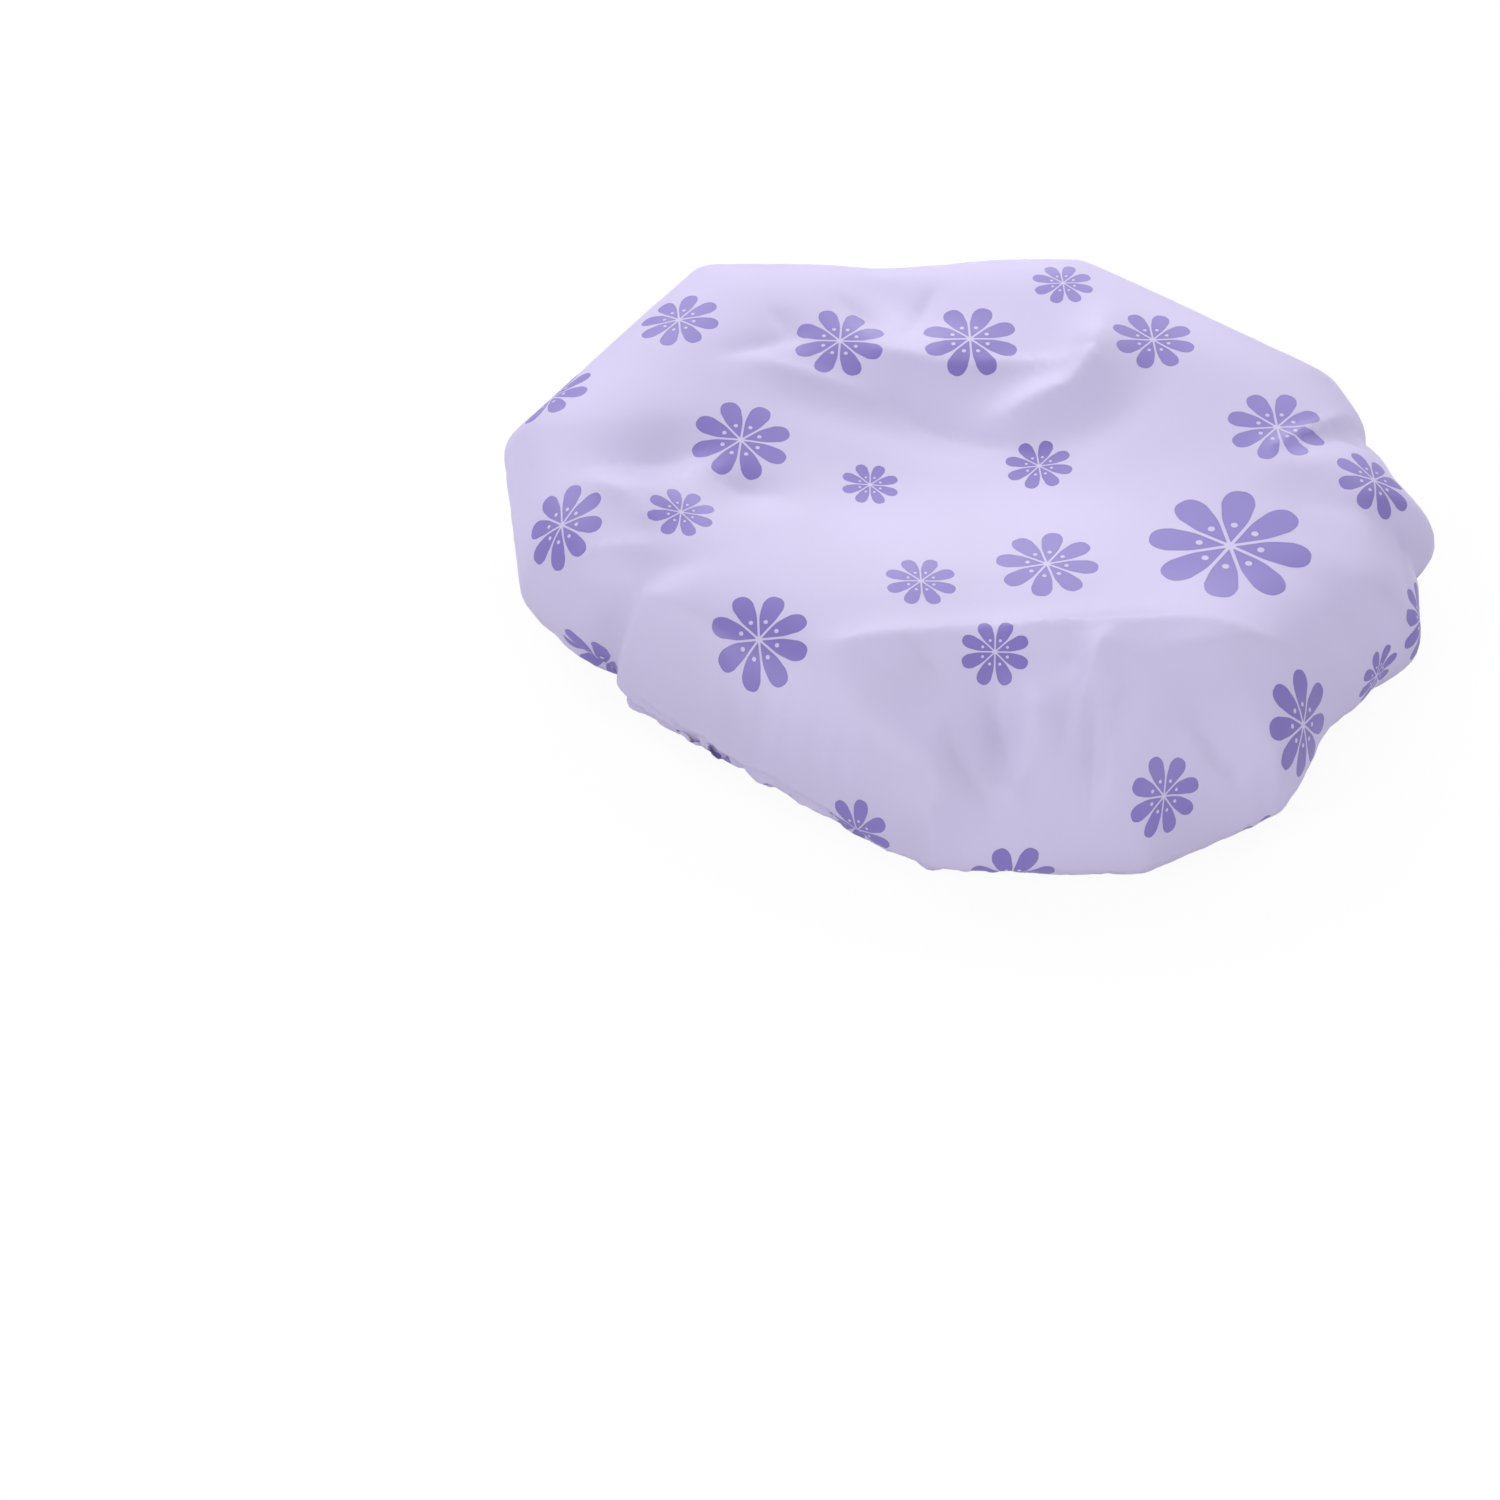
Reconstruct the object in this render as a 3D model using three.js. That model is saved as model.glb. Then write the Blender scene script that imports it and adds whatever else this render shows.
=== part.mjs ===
// Elasticated shower cap, lying crown up as it is put down after use: a round sheet of film gathered
// round its mouth, the folded strip that binds the mouth, the flat elastic that runs in that strip,
// and the thread that whips the two ends of the elastic together.
// Millimetres, +Z up. The origin is on the surface that the cap lies on, under the middle of its outline.

import * as THREE from "three";

// Driving dimensions

// Where the slack film is drawn into corners, seen from above, in order round the cap.
const OUTLINE_CORNERS = [
  [146, 5],
  [118, 66],
  [40, 116],
  [-86, 115],
  [-145, 42],
  [-138, -13],
  [-107, -47],
  [-15, -112],
  [48, -115],
  [91, -93],
  [137, -35],
];
const CORNER_SHARPNESS = 120; // higher is a tighter corner between two straight runs of the edge

// Tucks that draw the edge in: place seen from above, depth and half width.
const RIM_TUCKS = [
  { place: [142, -5], depth: 5, halfWidth: 6 },
  { place: [143, -14], depth: 4, halfWidth: 16 },
  { place: [116, -65], depth: 7, halfWidth: 22 },
  { place: [131, -47], depth: 3, halfWidth: 7 },
  { place: [130, 40], depth: 4, halfWidth: 6 },
  { place: [139, 24], depth: 3, halfWidth: 14 },
  { place: [-22, 115], depth: 4, halfWidth: 26 },
  { place: [-117, -38], depth: 7, halfWidth: 8 },
];

// Slack folds of the crown, seen from above. A valley has a negative height.
const CROWN_FOLDS = [
  { from: [-64, 49], to: [-27, 37], halfWidth: 9, height: -2.5 },
  { from: [-27, 37], to: [3, 29], halfWidth: 8, height: -3 },
  { from: [-34, 63], to: [14, 61], halfWidth: 12, height: 2.5 },
  { from: [44, 74], to: [38, 50], halfWidth: 9, height: 3.5 },
  { from: [38, 50], to: [13, 36], halfWidth: 8, height: 3 },
  { from: [52, 46], to: [25, 27], halfWidth: 10, height: -2.5 },
  { from: [-31, 105], to: [-17, 77], halfWidth: 10, height: -3.5 },
  { from: [-106, 18], to: [-84, 22], halfWidth: 10, height: -3.5 },
  { from: [-114, 8], to: [-95, -2], halfWidth: 7, height: 3 },
  { from: [-79, 4], to: [-60, 4], halfWidth: 8, height: -2.5 },
  { from: [-44, -50], to: [-6, -47], halfWidth: 10, height: 3 },
  { from: [-6, -47], to: [60, -48], halfWidth: 10, height: 3.5 },
  { from: [5, -70], to: [6, -95], halfWidth: 5, height: -3.5 },
  { from: [15, -74], to: [18, -90], halfWidth: 6, height: 2.5 },
  { from: [38, -55], to: [33, -73], halfWidth: 6, height: 3.5 },
  { from: [12, -55], to: [28, -68], halfWidth: 6, height: -2.5 },
  { from: [38, -74], to: [34, -106], halfWidth: 6, height: -3.5 },
  { from: [47, -74], to: [50, -92], halfWidth: 7, height: 2 },
  { from: [-35, -77], to: [-4, -106], halfWidth: 8, height: 3.5 },
  { from: [66, -84], to: [84, -92], halfWidth: 9, height: -3.5 },
  { from: [103, 24], to: [126, 40], halfWidth: 5, height: -4 },
  { from: [95, 12], to: [124, 16], halfWidth: 7, height: 2.5 },
  { from: [127, 2], to: [127, -18], halfWidth: 5, height: -3.5 },
  { from: [49, -61], to: [98, -52], halfWidth: 10, height: 2 },
  { from: [-104, -32], to: [-103, -50], halfWidth: 5, height: 4 },
  { from: [-112, -31], to: [-108, -46], halfWidth: 6, height: -4 },
  { from: [-101, -50], to: [-76, -58], halfWidth: 7, height: 3 },
];
const FOLD_END_HEIGHT = 0.45; // share of a fold's height that is left at its two ends
const FOLD_FADE = 6; // how close to the edge the folds keep their height

// The film sheet.
const FILM_THICKNESS = 0.5;
const CROWN_HEIGHT = 54;
const RIM_HEIGHT = 24; // height of the widest line at the sides, where the crown turns under
const RIM_TILT = 15; // rise of that line to the back, and its fall to the front
const CROWN_FULLNESS = 5.2; // how flat the crown is on top at the sides
const BACK_FULLNESS = 6; // how much flatter it is to the back
const FRONT_FULLNESS = -2.6; // and how much rounder to the front
const SHOULDER_POWER = 0.6; // how sharply the crown turns down at its edge
const HOLLOW_DEPTH = 9; // the slack crown sinks a little behind its middle
const HOLLOW_LENGTH = 62;
const HOLLOW_BACK = 31; // the hollow is steep to the back and shallow to the front
const HOLLOW_FRONT = 48;
const HOLLOW_CENTRE = [-5, 24];
const ROLL_DEPTH = 30; // from the widest line in to where the film meets the surface
const FOOT_WIDTH = 9; // the flat ring of film that lies on the surface
const LEAST_RISE = 16; // the run of film kept between the foot and the seam where the cap is narrow

// The mouth, at the middle of the bound edge, with the elastic relaxed.
const MOUTH_LENGTH = 152;
const MOUTH_WIDTH = 120;
const MOUTH_CENTRE = [-2, 2];

// The gathers.
const GATHER_COUNT = 16;
const GATHER_DEPTH = 7; // rise and fall of the film between the foot and the seam
const SEAM_WAVE = 1.2; // rise and fall of the seam itself
const RUFFLE_DEPTH = 1.5; // how far the binding stands out at each gather

// The binding strip: a tunnel for the elastic and two lips that hold the film's edge.
const BINDING_THICKNESS = 0.5;
const LIP_WIDTH = 4;
const LIP_GRIP = 3; // how far the film's edge goes in between the lips
const TUNNEL_CORNER = 1.6;
const TUNNEL_EASE = 0.4;

// The elastic and its thread.
const ELASTIC_WIDTH = 6;
const ELASTIC_THICKNESS = 1;
const LAP_LENGTH = 14;
const LAP_EASE_LENGTH = 16; // over which the elastic leaves its seat for the lap
const THREAD_DIAMETER = 0.5;
const TACK_TURNS = 5;
const TACK_PITCH = 1.8;

const CLEARANCE = 0.3; // between pieces that bear on each other

// Fineness of the facets.
const COLUMNS_PER_GATHER = 6;
const CROWN_RINGS = 15;
const CROWN_COARSE_RINGS = 5; // of them, those near the middle with half the columns
const RING_CROWDING = 1.5; // how much closer the rings lie near the edge
const ROLL_RINGS = 3;
const RISE_RINGS = 4;
const ELASTIC_STEPS = 72;
const LAP_STEPS = 10;
const THREAD_SIDES = 5;
const THREAD_STEPS_PER_SIDE = 2;

// Values worked out from the driving dimensions

const TURN = 2 * Math.PI;
const COLUMNS = GATHER_COUNT * COLUMNS_PER_GATHER;

// The whipped lap is two layers of elastic with the thread round them.
const LAP_STEP = ELASTIC_THICKNESS + CLEARANCE;
const WHIPPED_DEPTH = ELASTIC_THICKNESS + LAP_STEP + 2 * (THREAD_DIAMETER + CLEARANCE);
const WHIPPED_WIDTH = ELASTIC_WIDTH + 2 * (THREAD_DIAMETER + CLEARANCE);

// Half sizes of the tunnel, inside its wall.
const TUNNEL_HALF_DEPTH = WHIPPED_DEPTH / 2 + TUNNEL_EASE;
const TUNNEL_HALF_HEIGHT = WHIPPED_WIDTH / 2 + SEAM_WAVE + TUNNEL_EASE;
const LIP_OFFSET = FILM_THICKNESS / 2 + CLEARANCE + BINDING_THICKNESS / 2;
const SEAM_HEIGHT = TUNNEL_HALF_HEIGHT + BINDING_THICKNESS + RUFFLE_DEPTH + CLEARANCE;
const LIP_START = TUNNEL_HALF_DEPTH + BINDING_THICKNESS / 2;
const LIP_END = LIP_START + LIP_WIDTH;
const FILM_EDGE = LIP_END - LIP_GRIP;

// The elastic pulls in against the tunnel's inner wall, and leaves it only where it is lapped.
const SEATED_OFFSET = -(TUNNEL_HALF_DEPTH - CLEARANCE - ELASTIC_THICKNESS / 2);
const LAPPED_OFFSET = -LAP_STEP / 2;

const FILM_COLOUR = new THREE.Color(0.8, 0.77, 0.9);
const BINDING_COLOUR = new THREE.Color(0.82, 0.8, 0.91);
const ELASTIC_COLOUR = new THREE.Color(0.93, 0.92, 0.9);
const THREAD_COLOUR = new THREE.Color(0.88, 0.86, 0.94);

function plastic(color, roughness) {
  return new THREE.MeshStandardMaterial({ color, roughness, metalness: 0 });
}

// 0 before start, 1 after end, and an even ease between them.
function ease(value, start, end) {
  return THREE.MathUtils.smoothstep(value, start, end);
}

// The straight runs of the outline, each as its outward direction over its distance from the origin.
const OUTLINE_RUNS = OUTLINE_CORNERS.map(([x, y], i) => {
  const [nextX, nextY] = OUTLINE_CORNERS[(i + 1) % OUTLINE_CORNERS.length];
  const outward = new THREE.Vector2(nextY - y, x - nextX).normalize();
  return outward.divideScalar(outward.x * x + outward.y * y);
});

// Distance from the origin to the cap's widest line at an angle: a polygon with softened corners and tucks.
function outlineReach(angle) {
  const heading = new THREE.Vector2(Math.cos(angle), Math.sin(angle));
  const nearness = OUTLINE_RUNS.map((run) => Math.max(0, run.dot(heading)) ** CORNER_SHARPNESS);
  const reach = nearness.reduce((total, share) => total + share, 0) ** (-1 / CORNER_SHARPNESS);
  const drawnIn = RIM_TUCKS.map(({ place, depth, halfWidth }) => {
    const away = Math.hypot(reach * heading.x - place[0], reach * heading.y - place[1]) / halfWidth;
    return depth * Math.exp(-away * away);
  });
  return drawnIn.reduce((left, depth) => left - depth, reach);
}

// Height of the widest line: the crown folds over high at the back and slopes low to the front.
function rimHeight(angle) {
  return RIM_HEIGHT + RIM_TILT * Math.sin(angle);
}

// Rise of one fold at a place seen from above. It is highest half way along.
function foldRise({ from, to, halfWidth, height }, place) {
  const start = new THREE.Vector2(...from);
  const run = new THREE.Vector2(...to).sub(start);
  const share = THREE.MathUtils.clamp(place.clone().sub(start).dot(run) / run.lengthSq(), 0, 1);
  const away = place.distanceTo(start.addScaledVector(run, share)) / halfWidth;
  const along = FOLD_END_HEIGHT + (1 - FOLD_END_HEIGHT) * Math.sin(Math.PI * share);
  return height * along * Math.exp(-away * away);
}

// How far the slack crown stands over its plain dome at a place seen from above.
function slackRise(place) {
  const across = (place.x - HOLLOW_CENTRE[0]) / HOLLOW_LENGTH;
  const behind = place.y - HOLLOW_CENTRE[1];
  const deep = behind / (behind > 0 ? HOLLOW_BACK : HOLLOW_FRONT);
  const sunk = HOLLOW_DEPTH * Math.exp(-across * across - deep * deep);
  return CROWN_FOLDS.reduce((total, fold) => total + foldRise(fold, place), -sunk);
}

// The swing of the gathers, from -1 to 1, round the mouth.
function gather(angle) {
  return Math.cos(GATHER_COUNT * angle);
}

// A point beside the middle line of the bound edge: outward in plan, and up from the seam's height.
// Beyond the tunnel's inner wall the seam's own wave comes in, so the lips and the film rise together.
function mouthPoint(angle, outward, up) {
  const a = MOUTH_LENGTH / 2;
  const b = MOUTH_WIDTH / 2;
  const normal = new THREE.Vector2(b * Math.cos(angle), a * Math.sin(angle)).normalize();
  const wave = SEAM_WAVE * gather(angle) * ease(outward, -TUNNEL_HALF_DEPTH, TUNNEL_HALF_DEPTH);
  return new THREE.Vector3(
    MOUTH_CENTRE[0] + a * Math.cos(angle) + normal.x * outward,
    MOUTH_CENTRE[1] + b * Math.sin(angle) + normal.y * outward,
    SEAM_HEIGHT + up + wave,
  );
}

// Angles of the columns round the cap, with the crown's at every second one.
function columnAngles(step) {
  return Array.from({ length: COLUMNS / step }, (_, i) => (TURN * i * step) / COLUMNS);
}

// One ring of the film's middle surface. face is the way the outer side looks there, where it is fixed.
function ring(angles, pointAt, face = null) {
  return angles.map((angle) => ({ point: pointAt(angle), face }));
}

// The crown, from its middle out to the widest line, where its folds fade out.
function crownRings() {
  const pointAt = (share) => (angle) => {
    const reach = outlineReach(angle) * share;
    const place = new THREE.Vector2(reach * Math.cos(angle), reach * Math.sin(angle));
    const back = Math.sin(angle);
    const fullness = CROWN_FULLNESS + Math.abs(back) * (back > 0 ? BACK_FULLNESS : FRONT_FULLNESS);
    const rim = rimHeight(angle);
    const dome = rim + (CROWN_HEIGHT - rim) * (1 - share ** fullness) ** SHOULDER_POWER;
    return new THREE.Vector3(place.x, place.y, dome + slackRise(place) * (1 - share ** FOLD_FADE));
  };
  const rings = [[{ point: pointAt(0)(0), face: null }]];
  for (let i = 1; i <= CROWN_RINGS; i += 1) {
    const share = 1 - (1 - i / CROWN_RINGS) ** RING_CROWDING;
    rings.push(ring(columnAngles(i <= CROWN_COARSE_RINGS ? 2 : 1), pointAt(share)));
  }
  return rings;
}

// The underside: the film rolls under to the surface, lies flat on it, and rises in gathers to the seam.
function undersideRings() {
  const down = new THREE.Vector3(0, 0, -1);
  const floor = FILM_THICKNESS / 2;
  const widest = (angle) => {
    const reach = outlineReach(angle);
    return new THREE.Vector3(reach * Math.cos(angle), reach * Math.sin(angle), 0);
  };
  const inward = (angle) => {
    const lipEnd = mouthPoint(angle, LIP_END + CLEARANCE, 0).setZ(0);
    return lipEnd.sub(widest(angle));
  };
  const inset = (angle, depth, height) => {
    const way = inward(angle);
    const fit = Math.min(1, (way.length() - LEAST_RISE) / (ROLL_DEPTH + FOOT_WIDTH));
    return widest(angle).add(way.setLength(depth * fit)).setZ(height);
  };
  const rings = [];
  for (let i = 1; i <= ROLL_RINGS; i += 1) {
    const lean = (i / (ROLL_RINGS + 1)) * (Math.PI / 2);
    const height = (angle) => floor + (rimHeight(angle) - floor) * (1 - Math.sin(lean));
    const depth = ROLL_DEPTH * (1 - Math.cos(lean));
    rings.push(ring(columnAngles(1), (angle) => inset(angle, depth, height(angle))));
  }
  for (const depth of [ROLL_DEPTH, ROLL_DEPTH + FOOT_WIDTH]) {
    rings.push(ring(columnAngles(1), (angle) => inset(angle, depth, floor), down));
  }
  for (let i = 1; i <= RISE_RINGS; i += 1) {
    const share = i / RISE_RINGS;
    rings.push(
      ring(
        columnAngles(1),
        (angle) => {
          const foot = inset(angle, ROLL_DEPTH + FOOT_WIDTH, floor);
          const seam = mouthPoint(angle, LIP_END + CLEARANCE, 0);
          const swell = GATHER_DEPTH * (1 - share) * share * gather(angle);
          return foot.lerp(seam, share).add(new THREE.Vector3(0, 0, swell));
        },
        share === 1 ? down : null,
      ),
    );
  }
  rings.push(ring(columnAngles(1), (angle) => mouthPoint(angle, FILM_EDGE, 0), down));
  return rings;
}

// Triangles between two neighbouring rings, where the outer one has as many points or twice as many.
function betweenRings(inner, innerStart, outer, outerStart) {
  const faces = [];
  const times = outer.length / inner.length;
  for (let i = 0; i < outer.length; i += 1) {
    const next = (i + 1) % outer.length;
    const a = innerStart + (Math.floor(i / times) % inner.length);
    const b = innerStart + (Math.floor((i + 1) / times) % inner.length);
    faces.push([a, outerStart + i, outerStart + next]);
    if (b !== a) faces.push([a, outerStart + next, b]);
  }
  return faces;
}

// A sheet of even thickness on both sides of a middle surface given as rings, from its middle outward.
function sheetSolid(rings, thickness) {
  const knots = rings.flat();
  const faces = [];
  let start = 0;
  for (let i = 0; i + 1 < rings.length; i += 1) {
    const next = start + rings[i].length;
    faces.push(...betweenRings(rings[i], start, rings[i + 1], next));
    start = next;
  }
  const middle = new THREE.BufferGeometry().setFromPoints(knots.map((knot) => knot.point));
  middle.setIndex(faces.flat());
  middle.computeVertexNormals();
  const normals = middle.getAttribute("normal");
  const side = (sign) =>
    knots.map(({ point, face }, i) => {
      const away = face ?? new THREE.Vector3().fromBufferAttribute(normals, i);
      return point.clone().addScaledVector(away, (sign * thickness) / 2);
    });
  const count = knots.length;
  const underFaces = faces.map(([a, b, c]) => [count + a, count + c, count + b]);
  const edge = rings.at(-1).length;
  const edgeFaces = Array.from({ length: edge }, (_, i) => {
    const a = start + i;
    const b = start + ((i + 1) % edge);
    return [a, count + a, b, b, count + a, count + b];
  });
  const solid = new THREE.BufferGeometry().setFromPoints([...side(1), ...side(-1)]);
  solid.setIndex([...faces.flat(), ...underFaces.flat(), ...edgeFaces.flat()]);
  return solid;
}

// A solid swept through sections that are closed outlines of equal count, as a closed loop or with two ends.
function sweptSolid(sections, isLoop) {
  const count = sections[0].length;
  const faces = [];
  const steps = isLoop ? sections.length : sections.length - 1;
  for (let i = 0; i < steps; i += 1) {
    const here = i * count;
    const there = ((i + 1) % sections.length) * count;
    for (let j = 0; j < count; j += 1) {
      const k = (j + 1) % count;
      faces.push(here + j, there + j, there + k, here + j, there + k, here + k);
    }
  }
  if (!isLoop) {
    const last = (sections.length - 1) * count;
    for (let j = 1; j + 1 < count; j += 1) {
      faces.push(0, j, j + 1, last, last + j + 1, last + j);
    }
  }
  const solid = new THREE.BufferGeometry().setFromPoints(sections.flat());
  solid.setIndex(faces);
  return solid;
}

function crownFilm() {
  const geometry = sheetSolid([...crownRings(), ...undersideRings()], FILM_THICKNESS);
  return new THREE.Mesh(geometry, plastic(FILM_COLOUR, 0.45));
}

// The middle line of the binding's section, from the upper lip's edge round the tunnel to the lower lip's.
// ruffle pushes the tunnel's top, bottom and inner wall out from the elastic.
function bindingLine(ruffle) {
  const half = BINDING_THICKNESS / 2;
  const outer = LIP_START;
  const inner = -(TUNNEL_HALF_DEPTH + half + ruffle);
  const top = TUNNEL_HALF_HEIGHT + half + ruffle;
  const corner = TUNNEL_CORNER;
  const upper = [
    [LIP_END, LIP_OFFSET],
    [outer, LIP_OFFSET],
    [outer, top - corner],
    [outer - corner, top],
    [inner + corner, top],
    [inner, top - corner],
  ];
  const lower = upper.map(([u, w]) => [u, -w]).reverse();
  return [...upper, ...lower].map(([u, w]) => new THREE.Vector2(u, w));
}

// The two sides of a bent strip of even thickness, as one closed outline, mitred at each bend.
function stripOutline(line, thickness) {
  const along = (i) => line[i + 1].clone().sub(line[i]).normalize();
  const offsets = line.map((_, i) => {
    const before = along(Math.max(0, i - 1));
    const after = along(Math.min(line.length - 2, i));
    const bisector = before.clone().add(after).normalize();
    const reach = thickness / 2 / bisector.dot(after);
    return new THREE.Vector2(-bisector.y, bisector.x).multiplyScalar(reach);
  });
  const left = line.map((point, i) => point.clone().add(offsets[i]));
  const right = line.map((point, i) => point.clone().sub(offsets[i]));
  return [...right, ...left.reverse()];
}

function hemBinding() {
  const sections = columnAngles(1).map((angle) => {
    const ruffle = (RUFFLE_DEPTH * (1 + gather(angle))) / 2;
    const outline = stripOutline(bindingLine(ruffle), BINDING_THICKNESS);
    return outline.map((p) => mouthPoint(angle, p.x, p.y));
  });
  return new THREE.Mesh(sweptSolid(sections, true), plastic(BINDING_COLOUR, 0.45));
}

// Angle round the mouth that a length of elastic takes, where the mouth is tightest.
function angleOf(length) {
  return length / (MOUTH_WIDTH / 2);
}

// A point on the elastic's middle line, or up and outward from it, clear of the seam's wave.
function elasticPoint(angle, outward, up) {
  const seam = mouthPoint(angle, outward, 0);
  return seam.setZ(SEAM_HEIGHT + up);
}

// The elastic is one strip. It starts on the inner side of the lap, goes once round and ends on the outer
// side.
function elasticBand() {
  const lap = angleOf(LAP_LENGTH);
  const easing = angleOf(LAP_EASE_LENGTH);
  const offsetAt = (run) => {
    const leaving = ease(run, lap, lap + easing);
    const arriving = ease(run, TURN - easing, TURN);
    const start = THREE.MathUtils.lerp(LAPPED_OFFSET, SEATED_OFFSET, leaving);
    return THREE.MathUtils.lerp(start, LAPPED_OFFSET + LAP_STEP, arriving);
  };
  const lapRuns = Array.from({ length: LAP_STEPS }, (_, i) => ((lap + easing) * i) / LAP_STEPS);
  const freeStart = lap + easing;
  const freeEnd = TURN - easing;
  const freeRuns = Array.from(
    { length: ELASTIC_STEPS + 1 },
    (_, i) => freeStart + ((freeEnd - freeStart) * i) / ELASTIC_STEPS,
  );
  const endRuns = Array.from(
    { length: LAP_STEPS },
    (_, i) => freeEnd + ((easing + lap) * (i + 1)) / LAP_STEPS,
  );
  const halfThickness = ELASTIC_THICKNESS / 2;
  const halfWidth = ELASTIC_WIDTH / 2;
  const sections = [...lapRuns, ...freeRuns, ...endRuns].map((run) => {
    const offset = offsetAt(run);
    const corners = [
      [-halfThickness, -halfWidth],
      [halfThickness, -halfWidth],
      [halfThickness, halfWidth],
      [-halfThickness, halfWidth],
    ];
    return corners.map(([outward, up]) => elasticPoint(run, offset + outward, up));
  });
  return new THREE.Mesh(sweptSolid(sections, false), plastic(ELASTIC_COLOUR, 0.85));
}

// The thread winds round both layers of the lap, as one unbroken whipping.
function elasticTack() {
  const halfDepth = (WHIPPED_DEPTH - THREAD_DIAMETER) / 2;
  const halfWidth = (WHIPPED_WIDTH - THREAD_DIAMETER) / 2;
  const corners = [
    [-halfDepth, -halfWidth],
    [halfDepth, -halfWidth],
    [halfDepth, halfWidth],
    [-halfDepth, halfWidth],
  ];
  const length = TACK_TURNS * TACK_PITCH;
  const first = (angleOf(LAP_LENGTH) - angleOf(length)) / 2;
  const perTurn = corners.length * THREAD_STEPS_PER_SIDE;
  const line = Array.from({ length: TACK_TURNS * perTurn + 1 }, (_, i) => {
    const side = Math.floor(i / THREAD_STEPS_PER_SIDE);
    const share = (i % THREAD_STEPS_PER_SIDE) / THREAD_STEPS_PER_SIDE;
    const from = corners[side % corners.length];
    const to = corners[(side + 1) % corners.length];
    const outward = THREE.MathUtils.lerp(from[0], to[0], share);
    const up = THREE.MathUtils.lerp(from[1], to[1], share);
    return elasticPoint(first + angleOf((length * i) / (TACK_TURNS * perTurn)), outward, up);
  });
  const sections = line.map((point, i) => {
    const along = line[Math.min(i + 1, line.length - 1)].clone().sub(line[Math.max(i - 1, 0)]).normalize();
    const heading = elasticPoint(first + angleOf(length), 0, 0).sub(elasticPoint(first, 0, 0)).normalize();
    const across = new THREE.Vector3().crossVectors(along, heading).normalize();
    const over = new THREE.Vector3().crossVectors(across, along);
    return Array.from({ length: THREAD_SIDES }, (_, j) => {
      const angle = (TURN * j) / THREAD_SIDES;
      return point
        .clone()
        .addScaledVector(across, (Math.cos(angle) * THREAD_DIAMETER) / 2)
        .addScaledVector(over, (Math.sin(angle) * THREAD_DIAMETER) / 2);
    });
  });
  return new THREE.Mesh(sweptSolid(sections, false), plastic(THREAD_COLOUR, 0.7));
}

function named(name, mesh) {
  mesh.name = name;
  return mesh;
}

const cap = new THREE.Group();
cap.add(
  named("crown_film", crownFilm()),
  named("hem_binding", hemBinding()),
  named("elastic_band", elasticBand()),
  named("elastic_tack", elasticTack()),
);

// The origin goes under the middle of the finished outline.
const middle = new THREE.Box3().setFromObject(cap).getCenter(new THREE.Vector3());
cap.children.forEach((mesh) => mesh.position.set(-middle.x, -middle.y, 0));

export default cap;
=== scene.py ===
"""Elasticated shower cap of printed film, lying crown up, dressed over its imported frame."""

import math

import bpy
import numpy as np
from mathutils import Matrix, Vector, geometry, kdtree, noise
from mathutils.bvhtree import BVHTree


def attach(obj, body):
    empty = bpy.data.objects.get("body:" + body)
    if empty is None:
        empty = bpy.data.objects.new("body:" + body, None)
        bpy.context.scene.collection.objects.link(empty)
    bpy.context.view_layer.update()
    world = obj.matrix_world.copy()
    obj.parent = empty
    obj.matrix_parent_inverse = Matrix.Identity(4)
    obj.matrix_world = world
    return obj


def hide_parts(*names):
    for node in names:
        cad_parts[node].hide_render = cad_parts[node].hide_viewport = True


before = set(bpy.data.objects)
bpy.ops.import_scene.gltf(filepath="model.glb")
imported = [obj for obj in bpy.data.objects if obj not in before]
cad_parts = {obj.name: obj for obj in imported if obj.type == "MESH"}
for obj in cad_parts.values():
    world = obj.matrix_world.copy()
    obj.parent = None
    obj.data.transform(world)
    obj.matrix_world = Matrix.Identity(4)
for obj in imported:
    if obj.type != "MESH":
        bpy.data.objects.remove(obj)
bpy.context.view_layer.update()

bl_info = {
    "name": "Printed Film Shower Cap",
    "version": (1, 0, 0),
    "blender": (4, 5, 0),
    "location": "3D View > Sidebar > Shower Cap",
    "description": "Builds an elasticated film shower cap with a scattered flower print",
    "category": "Object",
}

MM = 0.001
TURN = 2 * math.pi
OUTLINE_SLOTS = 360  # bearings at which the widest line is looked up

# Corners of the lying cap's widest line seen from above, in mm, in order round it.
OUTLINE_CORNERS = (
    (146, 5),
    (118, 66),
    (40, 116),
    (-86, 115),
    (-145, 42),
    (-138, -13),
    (-107, -47),
    (-15, -112),
    (48, -115),
    (91, -93),
    (137, -35),
)
CORNER_SHARPNESS = 240

# Tucks that draw the widest line in: place seen from above, depth and half width in mm.
RIM_TUCKS = (
    ((142, -5), 5, 6),
    ((143, -14), 4, 16),
    ((116, -65), 7, 22),
    ((131, -47), 3, 7),
    ((130, 40), 4, 6),
    ((139, 24), 3, 14),
    ((-22, 115), 4, 26),
    ((-117, -38), 7, 8),
)

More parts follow.
